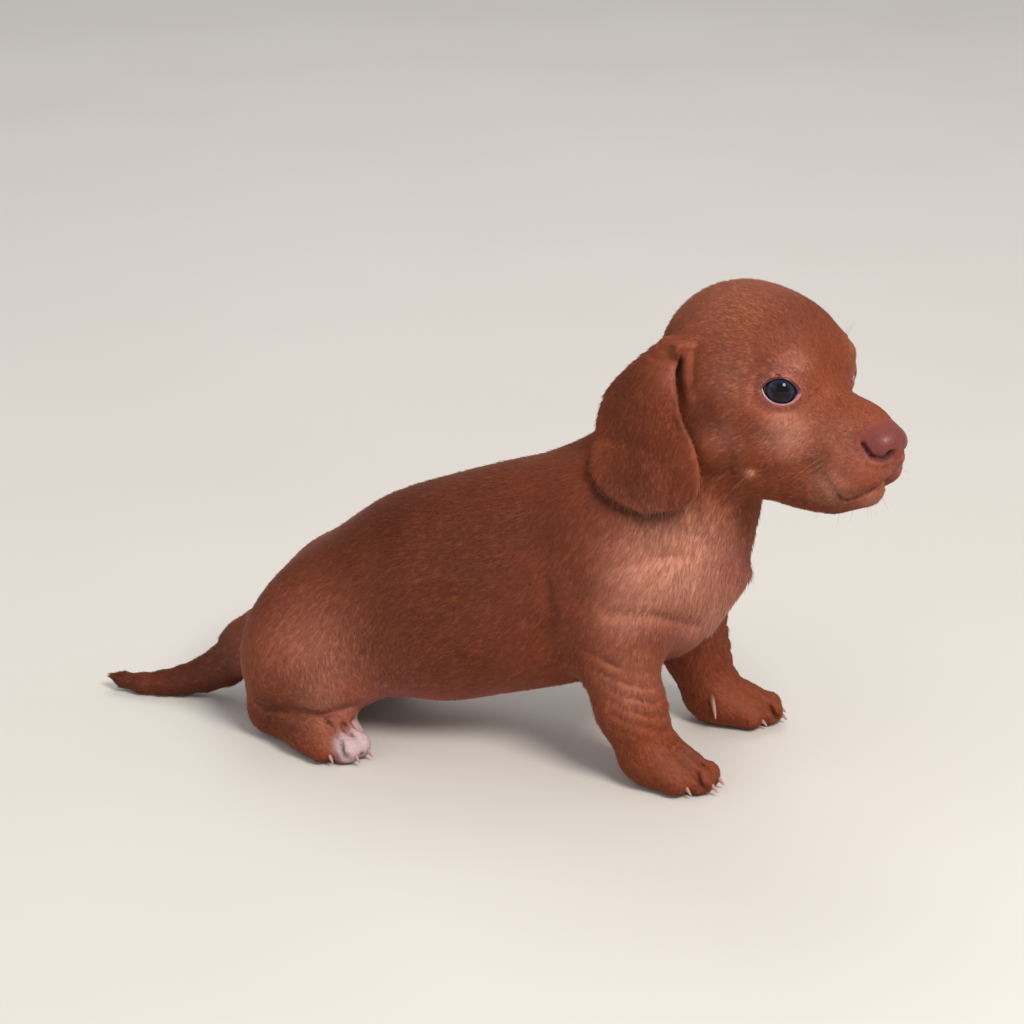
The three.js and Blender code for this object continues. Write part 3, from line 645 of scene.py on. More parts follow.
def skin_field(p):
    q = into_head(p)
    d = body_field(p, fine=True) + coat_depth(p)
    d = blend(d, bridge(q), 4)
    d = blend(d, nose_forms(q) + NOSE_RISE, 3) + nostrils(q)
    root = np.clip((q[:, 2] - 1) / 7, 0, 1)
    for ear in EARS.values():
        d = blend(d, ear.field(q, EAR_THICKNESS / 2 - 0.55), 0.3 + 5 * root)
    d = with_lids(d, q)
    return np.maximum(d, 0.15 - p[:, 2])


# Surface of a form over lines of a grid that lie closer where the form is finer

def grid_line(*stretches):
    parts = [np.linspace(a, b, round((b - a) / step), endpoint=False) for a, b, step in stretches]
    return np.concatenate([*parts, [stretches[-1][1]]])


def in_chunks(form, p, size=150_000):
    return np.concatenate([form(p[i:i + size]) for i in range(0, len(p), size)])


def places_on(lines, nodes):
    return np.stack([line[nodes[:, axis]] for axis, line in enumerate(lines)], 1)


def near_values(form, lines, stride=6):
    """Values at all nodes of the grid, worked out finely only where the surface is near."""
    picks = [np.unique(np.r_[0:len(line):stride, len(line) - 1]) for line in lines]
    nodes = np.stack(np.meshgrid(*[line[pick] for line, pick in zip(lines, picks)], indexing="ij"), -1)
    coarse = in_chunks(form, nodes.reshape(-1, 3)).reshape(nodes.shape[:3])
    reach = 1.5 * stride * max(np.diff(line).max() for line in lines)
    near = np.abs(coarse) < reach
    for axis in range(3):
        near = near | np.roll(near, 1, axis) | np.roll(near, -1, axis)
    for axis, pick in enumerate(picks):
        owner = np.searchsorted(pick, np.arange(len(lines[axis])), side="right") - 1
        near, coarse = near.take(owner, axis), coarse.take(owner, axis)
    wanted = np.argwhere(near)
    coarse[tuple(wanted.T)] = in_chunks(form, places_on(lines, wanted))
    return coarse


def surface(form, lines):
    """Closed mesh of the form, one vertex in each cell that its surface passes through."""
    value = near_values(form, lines)
    inside = value < 0
    cells = tuple(n - 1 for n in value.shape)
    count = sum(inside[i:i + cells[0], j:j + cells[1], k:k + cells[2]].astype(int)
                for i in (0, 1) for j in (0, 1) for k in (0, 1))
    crossed = (count > 0) & (count < 8)
    number = np.full(cells, -1)
    number[crossed] = np.arange(crossed.sum())
    cell = np.argwhere(crossed)
    total, hits = np.zeros((len(cell), 3)), np.zeros((len(cell), 1))
    steps = np.eye(3, dtype=int)
    for axis in range(3):
        u, v = steps[(axis + 1) % 3], steps[(axis + 2) % 3]
        for shift in (0 * u, u, v, u + v):
            start, end = cell + shift, cell + shift + steps[axis]
            a, b = value[tuple(start.T)], value[tuple(end.T)]
            cut = (a < 0) != (b < 0)
            share = np.where(cut, a / np.where(cut, a - b, 1), 0)[:, None]
            total += cut[:, None] * ((1 - share) * places_on(lines, start) + share * places_on(lines, end))
            hits += cut[:, None]
    points = total / hits
    faces = []
    for axis in range(3):
        u, v = steps[(axis + 1) % 3], steps[(axis + 2) % 3]
        start = np.argwhere(np.diff(inside, axis=axis))
        around = ((1, 1), (0, 1), (0, 0), (1, 0))
        ring = np.stack([number[tuple((start - i * u - j * v).T)] for i, j in around], 1)
        outward = ~inside[tuple(start.T)]
        ring[outward] = ring[outward, ::-1]
        faces.append(ring)
    return points, np.concatenate(faces)


def slope_of(form, p, step=0.1):
    here = in_chunks(form, p)
    ahead = [(in_chunks(form, p + step * axis) - here) / step for axis in np.eye(3)]
    return here, np.stack(ahead, 1)


def settled(form, points, reach, rounds=2):
    """Points drawn onto the form's surface along its slope, by no more than reach each time."""
    for _ in range(rounds):
        here, slope = slope_of(form, points)
        move = -here[:, None] * slope / np.maximum((slope ** 2).sum(1), 0.05)[:, None]
        far = np.maximum(length(move) / reach, 1)[:, None]
        points = points + move / far
    return points


# Meshes

def to_model(points):
    """From the millimetres of the forms to the metres of the frame."""
    return (np.asarray(points, float) - (MIDDLE, 0, 0)) * MM


def mesh_from(name, points, faces):
    mesh = bpy.data.meshes.new(name)
    mesh.vertices.add(len(points))
    mesh.vertices.foreach_set("co", np.ascontiguousarray(points, np.float32).ravel())
    sides = faces.shape[1]
    mesh.loops.add(faces.size)
    mesh.loops.foreach_set("vertex_index", np.ascontiguousarray(faces, np.int32).ravel())
    mesh.polygons.add(len(faces))
    mesh.polygons.foreach_set("loop_start", np.arange(0, faces.size, sides, dtype=np.int32))
    mesh.update(calc_edges=True)
    mesh.shade_smooth()
    return mesh


def add_piece(mesh, material, replaced=()):
    piece = bpy.data.objects.new(mesh.name, mesh)
    bpy.context.scene.collection.objects.link(piece)
    mesh.materials.append(material)
    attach(piece, "root")
    if replaced:
        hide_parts(*replaced)
    return piece


def set_values(mesh, values):
    """Writes named values, one for each vertex, for the materials to read."""
    for name, numbers in values.items():
        attribute = mesh.attributes.new(name, "FLOAT", "POINT")
        attribute.data.foreach_set("value", np.ascontiguousarray(numbers, np.float32))


# Markings and painted light, the same on the skin and on the coat: soft spots of (place, radius, strength),
# on both sides

HEAD_SPOTS = {
    # Lighter spots: partly lighter hair, partly painted highlight where the light falls on the cheek, brow,
    # muzzle and top of the head
    "pale": [
        ((30, 19, -14), 8, 0.75),
        ((46, 13, -30), 7, 0.55),
        ((17, 20.5, -31), 2.6, 0.6),
        ((57, 4, -35), 5, 0.5),
        ((30, 17, 10), 6, 0.3),
        ((-2, 16, 26), 18, 0.2),
        ((12, 26, 3), 10, 0.25),
        ((46, 11, -12), 8, 0.25),
        ((9.6, 26, -19), 6, 0.35),
    ],
    # Dark spots: partly darker hair, partly painted shade in the hollow before the ear root, in the cheek
    # fold, under the lips and under the nose
    "dark": [
        ((-1, 28, -14), 7, 0.95),
        ((38, 14.5, -22), 5, 0.5),
        ((10, 25, -29), 6, 0.35),
        ((32, 11, -37), 6, 0.35),
        ((44, 10, -38), 5, 0.6),
        ((18, 8, 22), 14, 0.3),
        ((-26, 38, -8), 17, 0.6),
        ((-20, 40, -32), 12, 0.3),
        ((60, 0, -22), 3.5, 0.6),
    ],
    "bare": [
        ((29, 18, 3), 7.5, 0.4),
        ((27, 21, 7.5), 3.5, 0.6),
        ((33.5, 16, -1.5), 3, 0.5),
        ((55, 8, -18), 7, 0.45),
        ((61, 0, -22), 4, 0.6),
        ((-12, 28, 0), 4, 0.5),
    ],
}
BODY_SPOTS = {
    # Lighter spots: partly lighter hair, partly painted highlight where the light falls on the chest, the
    # front of the shoulder and the thigh
    "pale": [
        ((60, 41, 64), 11, 0.3),
        ((82, 26, 82), 17, 0.9),
        ((66, 36, 82), 14, 0.65),
        ((86, 8, 60), 16, 0.8),
        ((64, 42, 42), 12, 0.25),
        ((84, 27, 96), 9, 0.4),
        ((-84, 20, 26), 16, 0.35),
        ((-56, 36, 40), 17, 0.3),
        ((-52, 44, 22), 9, 0.35),
    ],
    # Dark spots: partly darker hair on the back, rump and tail, partly painted shade on the neck under the
    # ear, in the folds by the shoulder and elbow and in the creases over the hind feet
    "dark": [
        ((58, 34, 110), 14, 0.8),
        ((14, 26, 84), 36, 0.55),
        ((-16, 30, 50), 34, 0.5),
        ((-36, 20, 78), 36, 0.6),
        ((-74, 10, 56), 20, 0.4),
        ((-74, 37, 13), 9, 0.8),
        ((-60, 44, 14), 7, 0.7),
        ((68, 31, 100), 9, 0.7),
        ((82, 34, 12), 9, 0.3),
        ((31, 36, 62), 7, 0.5),
        ((70, 39, 66), 6, 0.35),
        ((-98, 4, 20), 12, 0.6),
        ((-118, 1, 8), 20, 0.8),
        ((-145, 2, 5), 10, 0.75),
    ],
    "bare": [
        ((-22, 20, 13), 21, 1.0),
        ((12, 16, 20), 16, 0.7),
        ((-40, 24, 16), 12, 0.9),
        ((92, 10, 80), 11, 0.8),
        ((76, 18, 56), 9, 0.6),
    ],
}


def all_spots(name):
    """The spots of one kind of mark, painted light included, with the places of the head's brought into the
    body's frame.
    """
    spots = []
    for side in (RIGHT, LEFT):
        flip = np.array((1, side, 1))
        spots += [(out_of_head(place * flip), *rest) for place, *rest in HEAD_SPOTS[name]]
        spots += [(place * flip, *rest) for place, *rest in BODY_SPOTS[name]]
    return spots


def spots_at(p, name):
    left = np.ones(len(p))
    for place, radius, strength in all_spots(name):
        left *= 1 - strength * np.exp(-(length(p - place) / radius) ** 2)
    return 1 - left


def white_toes(p):
    """The white tips of the toes of the right hind foot."""
    leg = HIND_LEGS[RIGHT]
    tips = [foot_point(leg, 15, -3, 6), foot_point(leg, 15, 3, 6), foot_point(leg, 9, 9, 6)]
    away = np.min([length((p - tip) / (1.2, 0.8, 1.2)) for tip in tips], axis=0)
    return 1 / (1 + np.exp((away - 5.6) * 1.4))


# Lines between the toes, along which shade is painted in the gaps
toe_lines = deepest(
    [
        groove(gap_run(leg, across, (4, 16), (11, 10)), 1, 1)
        for legs in (FORE_LEGS, HIND_LEGS) for leg in legs.values() for across in TOE_GAPS
    ]
)


def soles(p):
    return np.clip((2.2 - p[:, 2]) / 1.2, 0, 1)


# Markings of the coat together with painted light: highlight within the lighter spots, shade within the dark
# spots and along the crease lines
def markings_at(p):
    values = {name: spots_at(p, name) for name in HEAD_SPOTS}
    q = into_head(p)
    lid = np.exp(-(np.maximum(opening_form(into_eye(q)), 0) / 1.5) ** 2)
    values["bare"] = np.maximum(values["bare"], 0.75 * lid)
    # Painted shade: a dark line in the crease of the mouth, in the nostril slits and in the gaps between the
    # toes
    values["line"] = np.max([0.9 * mouth_crease(q), nostril_slit(q), 0.5 * toe_lines(p)], axis=0)
    values["nose"] = 0.9 * np.exp(-(np.maximum(nose_field(p) - 0.3, 0) / 1.2) ** 2)
    values["white"] = 0.85 * white_toes(p)
    values["sole"] = soles(p)
    return values


# Lie of the coat: (place, direction, length of the hair), on both sides

HEAD_LIE = [
    ((57, 8, -14), (-1, 0.3, 0.1), 0.9),
    ((52, 0, -5), (-1, 0, 0.15), 1.1),
    ((40, 0, 0), (-1, 0, 0.5), 1.4),
    ((33, 0, 8), (-0.6, 0, 1), 1.6),
    ((27, 12, 14), (-0.7, 0.4, 1), 1.7),
    ((18, 0, 27), (-1, 0, 0.5), 2.0),
    ((-2, 0, 32), (-1, 0, 0), 2.3),
    ((-24, 0, 22), (-0.6, 0, -1), 2.8),
    ((8, 24, 10), (-1, 0.2, 0.1), 2.0),
    ((29, 19, -8), (-0.5, 0.3, -1), 1.5),
    ((14, 25, -12), (-1, 0.1, -0.5), 2.2),
    ((4, 24, -26), (-1, 0, -0.6), 2.8),
    ((46, 12, -14), (-1, 0.1, -0.35), 1.2),
    ((54, 9, -24), (-0.8, 0.1, -0.7), 1.1),
    ((53, 0, -36), (-1, 0, -0.3), 1.6),
    ((30, 6, -41), (-1, 0.2, -0.1), 2.2),
    ((8, 0, -40), (-0.7, 0, -0.8), 3.2),
    ((-18, 32, 4), (-0.5, 0.1, -1), 2.2),
    ((-30, 38, -12), (-0.3, 0, -1), 2.2),
    ((-10, 36, -14), (0.1, 0, -1), 2.1),
    ((-20, 39, -30), (0.15, 0, -1), 2.2),
    ((-8, 38, -44), (0.3, 0, -1), 2.4),
]
BODY_LIE = [
    ((80, 28, 110), (-0.35, 0.1, -1), 3.6),
    ((98, 0, 100), (-0.1, 0, -1), 3.4),
    ((60, 0, 126), (-1, 0, -0.7), 3.2),
    ((50, 34, 92), (-0.6, 0, -1), 3.3),
    ((60, 38, 72), (-0.45, 0, -1), 3.0),
    ((88, 0, 72), (-0.3, 0, -1), 4.2),
    ((80, 24, 74), (-0.4, 0.2, -1), 3.8),
    ((70, 0, 46), (-1, 0, -0.6), 4.2),
    ((20, 0, 110), (-1, 0, -0.2), 2.9),
    ((-20, 0, 97), (-1, 0, -0.35), 2.9),
    ((-60, 0, 74), (-1, 0, -0.8), 2.7),
    ((-90, 0, 40), (-0.8, 0, -1), 2.5),
    ((0, 34, 80), (-1, 0, -0.35), 2.7),
    ((0, 36, 45), (-0.9, 0, -0.55), 2.7),
    ((30, 34, 55), (-0.8, 0, -0.8), 2.9),
    ((0, 10, 18), (-1, 0.2, 0), 1.6),
    ((-60, 36, 50), (-0.6, 0, -1), 2.7),
    ((-48, 42, 30), (0.3, 0, -1), 2.4),
    ((-86, 20, 30), (-0.2, 0.2, -1), 2.4),
    ((62, 42, 50), (-0.3, 0, -1), 2.5),
    ((74, 36, 36), (0.0, 0, -1), 2.1),
    ((50, 32, 36), (-0.5, 0, -1), 3.0),
    ((72, 32, 20), (0.3, 0, -1), 1.7),
    ((84, 32, 12), (1, 0, -0.4), 1.2),
    ((-58, 37, 15), (1, 0.3, -0.3), 1.5),
    ((-42, 41, 8), (0.9, 0.4, -0.6), 1.1),
    ((-110, 0, 14), (-1, 0, -0.4), 2.2),
    ((-140, -3, 6), (-1, 0, 0.1), 1.9),
]


def lie_guides():
    places, directions, lengths = [], [], []
    for side in (RIGHT, LEFT):
        flip = np.array((1, side, 1))
        for place, direction, hair in HEAD_LIE:
            places.append(out_of_head(place * flip))
            directions.append(direction * flip @ HEAD_AXES.T)
            lengths.append(hair)
        for place, direction, hair in BODY_LIE:
            places.append(place * flip)
            directions.append(direction * flip)
            lengths.append(hair)
    return np.array(places, float), unit(np.array(directions, float)), np.array(lengths)


def lie_at(p, normal):
    """Direction of the hair along the skin and its length, from the guides that are near."""
    places, directions, lengths = lie_guides()
    total, hair, weight_sum = np.zeros((len(p), 3)), np.zeros(len(p)), np.zeros(len(p))
    for place, direction, reach in zip(places, directions, lengths):
        weight = 1 / (length(p - place) + 2) ** 4
        total += weight[:, None] * direction
        hair += weight * reach
        weight_sum += weight
    total -= (total * normal).sum(1)[:, None] * normal
    return unit(total), hair / weight_sum


# Materials

def feed(tree, socket, value):
    """Links a socket to another one, or sets it to a plain value."""
    if isinstance(value, bpy.types.NodeSocket):
        tree.links.new(value, socket)
    else:
        socket.default_value = value


def add_node(tree, kind, inputs=None, **settings):
    node = tree.nodes.new(kind)
    for name, value in settings.items():
        setattr(node, name, value)
    for name, value in (inputs or {}).items():
        feed(tree, node.inputs[name], value)
    return node


def colour(red, green, blue):
    """A colour given in the usual 0 to 255 steps, as the shader wants it."""
    steps = np.array((red, green, blue)) / 255
    linear = np.where(steps <= 0.04045, steps / 12.92, ((steps + 0.055) / 1.055) ** 2.4)
    return (*linear.tolist(), 1.0)


def mix_colour(tree, share, below, above):
    node = add_node(tree, "ShaderNodeMix", data_type="RGBA")
    for number, value in ((0, share), (6, below), (7, above)):
        feed(tree, node.inputs[number], value)
    return node.outputs[2]


def maths(tree, operation, *values, clamp=False):
    node = add_node(tree, "ShaderNodeMath", operation=operation, use_clamp=clamp)
    for socket, value in zip(node.inputs, values):
        feed(tree, socket, value)
    return node.outputs[0]


def noise(tree, place, scale, detail=2.0, roughness=0.5):
    inputs = {"Vector": place, "Scale": scale, "Detail": detail, "Roughness": roughness}
    return add_node(tree, "ShaderNodeTexNoise", inputs).outputs["Fac"]


def value_of(tree, name):
    return add_node(tree, "ShaderNodeAttribute", attribute_name=name).outputs["Fac"]


def new_material(name):
    material = bpy.data.materials.new(name)
    material.use_nodes = True
    tree = material.node_tree
    place = add_node(tree, "ShaderNodeTexCoord").outputs["Object"]
    return material, tree, tree.nodes["Principled BSDF"], place


def set_finish(tree, shader, ground, finish):
    """The colour from a socket, and the rest of the finish as plain values."""
    tree.links.new(ground, shader.inputs["Base Color"])
    for name, value in finish.items():
        shader.inputs[name].default_value = value


def add_relief(tree, shader, height, strength, depth):
    relief = add_node(tree, "ShaderNodeBump", {"Height": height, "Strength": strength, "Distance": depth})
    tree.links.new(relief.outputs["Normal"], shader.inputs["Normal"])


COAT_RED = colour(143, 68, 37)
COAT_DEEP = colour(84, 34, 15)
# Lighter hair colour, also painted as highlight
COAT_PALE = colour(210, 144, 120)
SKIN_PINK = colour(190, 112, 100)
TOE_WHITE = colour(222, 196, 196)
SOLE_BROWN = colour(92, 48, 42)
# Painted shade for the creases
CREASE_BROWN = colour(46, 17, 12)
LEATHER_RED = colour(116, 50, 44)

MARK_NAMES = ("pale", "dark", "bare", "nose", "line", "white", "sole")


def coat_group():
    """Colour of the coat from its markings, with painted highlight and painted shade among them, and the
    mottling of the hair.
    """
    group = bpy.data.node_groups.new("CoatColour", "ShaderNodeTree")
    for name in (*MARK_NAMES, "tone"):
        group.interface.new_socket(name.capitalize(), in_out="INPUT", socket_type="NodeSocketFloat")
    group.interface.new_socket("Colour", in_out="OUTPUT", socket_type="NodeSocketColor")
    group.interface.new_socket("Height", in_out="OUTPUT", socket_type="NodeSocketFloat")
    given = add_node(group, "NodeGroupInput").outputs
    place = add_node(group, "ShaderNodeTexCoord").outputs["Object"]
    cloud = noise(group, place, 45, 3)
    tips = noise(group, place, 420, 3, 0.6)
    grain = noise(group, place, 1900, 2, 0.6)
    unsettled = maths(group, "MULTIPLY_ADD", cloud, 0.5, -0.25)
    # Darker hair and painted shade, from the dark spots, unsettled by a cloud
    dark = maths(group, "ADD", given["Dark"], unsettled, clamp=True)
    ground = mix_colour(group, dark, COAT_RED, COAT_DEEP)
    # Lighter hair and painted highlight, from the lighter spots
    ground = mix_colour(group, given["Pale"], ground, COAT_PALE)
    ground = mix_colour(group, maths(group, "MULTIPLY", given["Bare"], 0.8), ground, SKIN_PINK)
    fleck = maths(group, "MULTIPLY_ADD", tips, 1.3, -0.55, clamp=True)
    ground = mix_colour(group, maths(group, "MULTIPLY", fleck, 0.3), ground, COAT_DEEP)
    deeper = maths(group, "MULTIPLY", given["Tone"], 0.3)
    ground = mix_colour(group, deeper, ground, COAT_DEEP)
    ground = mix_colour(group, given["Nose"], ground, LEATHER_RED)
    ground = mix_colour(group, given["White"], ground, TOE_WHITE)
    # Painted shade along the lines of the creases
    ground = mix_colour(group, given["Line"], ground, CREASE_BROWN)
    ground = mix_colour(group, given["Sole"], ground, SOLE_BROWN)
    height = maths(group, "MULTIPLY_ADD", tips, 0.5, maths(group, "MULTIPLY", grain, 0.5))
    add_node(group, "NodeGroupOutput", {"Colour": ground, "Height": height})
    return group


COAT_GROUP = coat_group()


def coat_material(name, tone, bump, roughness, sheen):
    material, tree, shader, _ = new_material(name)
    group = add_node(tree, "ShaderNodeGroup", node_tree=COAT_GROUP)
    for mark in (*MARK_NAMES, "tone") if tone else MARK_NAMES:
        tree.links.new(value_of(tree, mark), group.inputs[mark.capitalize()])
    finish = {"Roughness": roughness, "Specular IOR Level": 0.3, "Sheen Weight": sheen}
    finish |= {"Sheen Roughness": 0.4, "Sheen Tint": colour(255, 206, 188)}
    set_finish(tree, shader, group.outputs["Colour"], finish)
    if bump:
        add_relief(tree, shader, group.outputs["Height"], bump, 0.0006)
    return material


def leather_material():
    """Moist bare skin of the nose: fine round grains over a soft mottling."""
    material, tree, shader, place = new_material("nose_leather")
    cells = add_node(tree, "ShaderNodeTexVoronoi", {"Vector": place, "Scale": 1500.0}).outputs["Distance"]
    ground = mix_colour(tree, noise(tree, place, 160, 3), colour(102, 42, 38), colour(126, 56, 50))
    # Painted shade deep in the nostrils
    deeper = maths(tree, "MULTIPLY", value_of(tree, "hollow"), 0.9)
    ground = mix_colour(tree, deeper, ground, colour(30, 9, 9))
    finish = {"Roughness": 0.5, "Specular IOR Level": 0.3, "Coat Weight": 0.15, "Coat Roughness": 0.22}
    set_finish(tree, shader, ground, finish)
    add_relief(tree, shader, cells, 0.35, 0.0003)
    return material


def lid_material():
    """Moist edge of the lids, pink below and dark above."""
    material, tree, shader, place = new_material("lid_skin")
    cloud = noise(tree, place, 700, 3)
    ground = mix_colour(tree, cloud, colour(140, 86, 90), colour(178, 122, 128))
    ground = mix_colour(tree, value_of(tree, "upper"), ground, colour(70, 30, 28))
    set_finish(tree, shader, ground, {"Roughness": 0.35, "Coat Weight": 0.2, "Coat Roughness": 0.12})
    add_relief(tree, shader, cloud, 0.3, 0.0003)
    return material


# Rings of the eye from the middle of the pupil out to the white, as (share of the way, colour)
EYE_RINGS = [
    (0.0, (6, 6, 10)),
    (0.46, (8, 8, 12)),
    (0.56, (22, 22, 34)),
    (0.76, (46, 46, 64)),
    (0.87, (26, 24, 34)),
    (0.93, (14, 12, 18)),
    (1.0, (96, 76, 78)),
]


def eye_material():
    """Dark pupil in a blue-grey iris with fine rays, and a dark ring where it meets the white."""
    material, tree, shader, place = new_material("eye")
    rays = maths(tree, "MULTIPLY_ADD", noise(tree, place, 900, 4, 0.7), 0.05, value_of(tree, "outward"))
    ramp = add_node(tree, "ShaderNodeValToRGB", {"Fac": rays})
    rings = ramp.color_ramp.elements
    rings[0].color, rings[-1].color = colour(*EYE_RINGS[0][1]), colour(*EYE_RINGS[-1][1])
    for share, shade in EYE_RINGS[1:-1]:
        rings.new(share).color = colour(*shade)
    finish = {"Roughness": 0.5, "Specular IOR Level": 0.0}
    finish |= {"Coat Weight": 0.7, "Coat IOR": 1.38, "Coat Roughness": 0.02}
    set_finish(tree, shader, ramp.outputs["Color"], finish)
    return material


def claw_material():
    material, tree, shader, place = new_material("claw")
    ground = mix_colour(tree, value_of(tree, "along"), colour(128, 70, 56), colour(196, 152, 134))
    streaks = maths(tree, "MULTIPLY", noise(tree, place, 1500, 2), 0.3)
    ground = mix_colour(tree, streaks, ground, colour(110, 66, 54))
    set_finish(tree, shader, ground, {"Roughness": 0.35})
    return material


def whisker_material():
    material, tree, shader, place = new_material("whisker")
    ground = mix_colour(tree, noise(tree, place, 300, 1), colour(120, 66, 40), colour(176, 120, 86))
    set_finish(tree, shader, ground, {"Roughness": 0.4})
    return material


# Skin: one surface over the trunk, head, ears, legs and tail

def unwrap(piece):
    bpy.context.view_layer.objects.active = piece
    piece.select_set(True)
    bpy.ops.object.mode_set(mode="EDIT")
    bpy.ops.mesh.select_all(action="SELECT")
    bpy.ops.uv.smart_project(angle_limit=1.2, island_margin=0.0015)
    bpy.ops.object.mode_set(mode="OBJECT")
    piece.select_set(False)
    piece.data.uv_layers.active.name = "OFBake"


# Lines of the skin's grid along x, y and z, closer over the head, as stretches of (from, to, step)
SKIN_GRID = [
    [(-157, 36, 1.7), (36, 60, 1.2), (60, 160, 0.78)],
    [(-56, 56, 0.92)],
    [(-3, 20, 1.0), (20, 90, 1.6), (90, 185, 0.78)],
]


def build_skin():
    """The skin with its points and outward directions."""
    points, faces = surface(skin_field, [grid_line(*stretches) for stretches in SKIN_GRID])
    points = settled(skin_field, points, 0.5)
    _, slope = slope_of(skin_field, points)
    normals = unit(slope)
    mesh = mesh_from("skin", to_model(points), faces)
    set_values(mesh, markings_at(points))
    bare_parts = ("nose", "eye", "fore_claw", "hind_claw")
    flesh_nodes = [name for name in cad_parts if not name.startswith(bare_parts)]
    piece = add_piece(mesh, coat_material("skin_coat", False, 0.55, 0.65, 0.14), flesh_nodes)
    unwrap(piece)
    return piece, points, normals


# Coat: fine tufts rooted in the skin

def tuft_roots(skin, points, normals, rng):
    """Roots spread over the skin, closer where the hair is shorter, with what each root needs."""
    mesh = skin.data
    mesh.calc_loop_triangles()
    count = len(mesh.loop_triangles)
    corners, loops = np.zeros(count * 3, np.int32), np.zeros(count * 3, np.int32)
    mesh.loop_triangles.foreach_get("vertices", corners)
    mesh.loop_triangles.foreach_get("loops", loops)
    corners, loops = corners.reshape(-1, 3), loops.reshape(-1, 3)
    spread = np.zeros(len(mesh.loops) * 2, np.float32)
    mesh.uv_layers["OFBake"].data.foreach_get("uv", spread)
    spread = spread.reshape(-1, 2)
    a, b, c = (points[corners[:, k]] for k in range(3))
    area = length(np.cross(b - a, c - a)) / 2
    lie, hair = lie_at(points, normals)
    room = in_chunks(nose_field, points)
    e = into_eye(into_head(points))
    clear = (room > 1.1) & (points[:, 2] > 1.2) & ((opening_form(e) > 0.1) | (eye_form(e) > 4))
    clear &= mouth_crease(into_head(points)) < 0.45
    closeness = clear / (hair + 0.4) ** 1.6
    share = np.cumsum(area * closeness[corners].mean(1))
    picks = np.searchsorted(share, rng.random(TUFTS) * share[-1])
    u, v = rng.random(TUFTS), rng.random(TUFTS)
    over = u + v > 1
    u[over], v[over] = 1 - u[over], 1 - v[over]
    weights = np.stack([1 - u - v, u, v], 1)

    def at_roots(values):
        return (values * weights.reshape(-1, 3, *[1] * (values.ndim - 2))).sum(1)

    return {
        "place": at_roots(points[corners[picks]]),
        "normal": unit(at_roots(normals[corners[picks]])),
        "lie": unit(at_roots(lie[corners[picks]])),
        "hair": at_roots(hair[corners[picks]]),
        "patch": at_roots(spread[loops[picks]]),
    }


def build_coat(skin, points, normals):
    rng = np.random.default_rng(SEED)
    roots = tuft_roots(skin, points, normals, rng)
    order = np.argsort(roots["place"][:, 0], kind="stable")
    roots = {name: values[order] for name, values in roots.items()}
    place, normal, lie, hair = (roots[name] for name in ("place", "normal", "lie", "hair"))
    across = unit(np.cross(normal, lie))
    stray = rng.normal(0, 0.2, TUFTS)[:, None]
    lie = unit(lie + across * stray)
    across = unit(np.cross(normal, lie))
    rise = np.clip(rng.normal(0.2, 0.09, TUFTS), 0.05, 0.55)[:, None]
    reach = hair * rng.uniform(0.65, 1.25, TUFTS)
    half = 0.05 + 0.022 * hair * rng.uniform(0.7, 1.2, TUFTS)
    tone = rng.random(TUFTS)
    tip = place + (lie * np.cos(rise) + normal * np.sin(rise)) * reach[:, None]
    tip[:, 2] = np.maximum(tip[:, 2], 0.1)
    low = place - normal * ROOT_DEPTH
    aside = across * half[:, None]
    ridge = low + normal * (TUFT_RIDGE * half)[:, None]
    corners = np.stack([low + aside, low - aside, ridge, tip], 1)
    faces = np.array([(0, 1, 2), (0, 2, 3), (2, 1, 3), (1, 0, 3)])
    leaning = np.stack([normal * 0.9 + across * 0.45, normal * 0.9 - across * 0.45, normal, normal], 1)
    corner_patch = PATCH * np.array([(-0.45, -0.45), (0.45, -0.45), (0, -0.3), (0, 0.5)])
    material = coat_material("coat_hair", True, 0, 0.6, 0.16)
    runs = np.array_split(np.arange(TUFTS), COAT_PIECES)
    for number, run in enumerate(runs, start=1):
        count = len(run)
        spots = corners[run].reshape(-1, 3)
        index = (faces[None] + 4 * np.arange(count)[:, None, None]).reshape(-1, 3)
        mesh = mesh_from(f"coat_{number}", to_model(spots), index)
        values = markings_at(place[run])
        values["tone"] = tone[run]
        set_values(mesh, {name: np.repeat(numbers, 4) for name, numbers in values.items()})
        spread = (roots["patch"][run][:, None] + corner_patch).reshape(-1, 2)
        layer = mesh.uv_layers.new(name="OFBake")
        layer.data.foreach_set("uv", spread[index.ravel()].astype(np.float32).ravel())
        mesh.normals_split_custom_set_from_vertices(unit(leaning[run]).reshape(-1, 3).tolist())
        add_piece(mesh, material)


# Bare parts

def build_nose():
    centre = out_of_head((lip - 4, 0, -14))
    lines = [grid_line((c - 15, c + 15, 0.42)) for c in centre]
    points, faces = surface(nose_field, lines)
    points = settled(nose_field, points, 0.25)
    q = into_head(points)
    # How much painted shade the nostril slits and holes get
    hollow = np.clip(nostril_slit(q) + nostril_hole(q) / 2.2, 0, 1)
    mesh = mesh_from("nose_pad", to_model(points), faces)
    set_values(mesh, {"hollow": hollow})
    add_piece(mesh, leather_material(), ["nose"])


def ring_faces(rings, sides, closed=False):
    """Quads between rings of points, the last ring joined to the first where closed."""
    faces = []
    for ring in range(rings if closed else rings - 1):
        low, high = ring * sides, (ring + 1) % rings * sides
        for side in range(sides):
            beside = (side + 1) % sides
            faces.append((low + side, low + beside, high + beside, high + side))
    return np.array(faces)


def tube(middle, across, up, radius, sides):
    """Points of a round ring about each point of a middle line."""
    around = np.linspace(0, 2 * np.pi, sides, endpoint=False)[None, :, None]
    rings = middle[:, None] + radius[:, None, None] * (np.cos(around) * across + np.sin(around) * up)
    return rings.reshape(-1, 3)


def from_eye(e, side):
    return out_of_head(np.asarray(e) @ eye_axes(side).T + np.array(EYE_PLACE) * (1, side, 1))


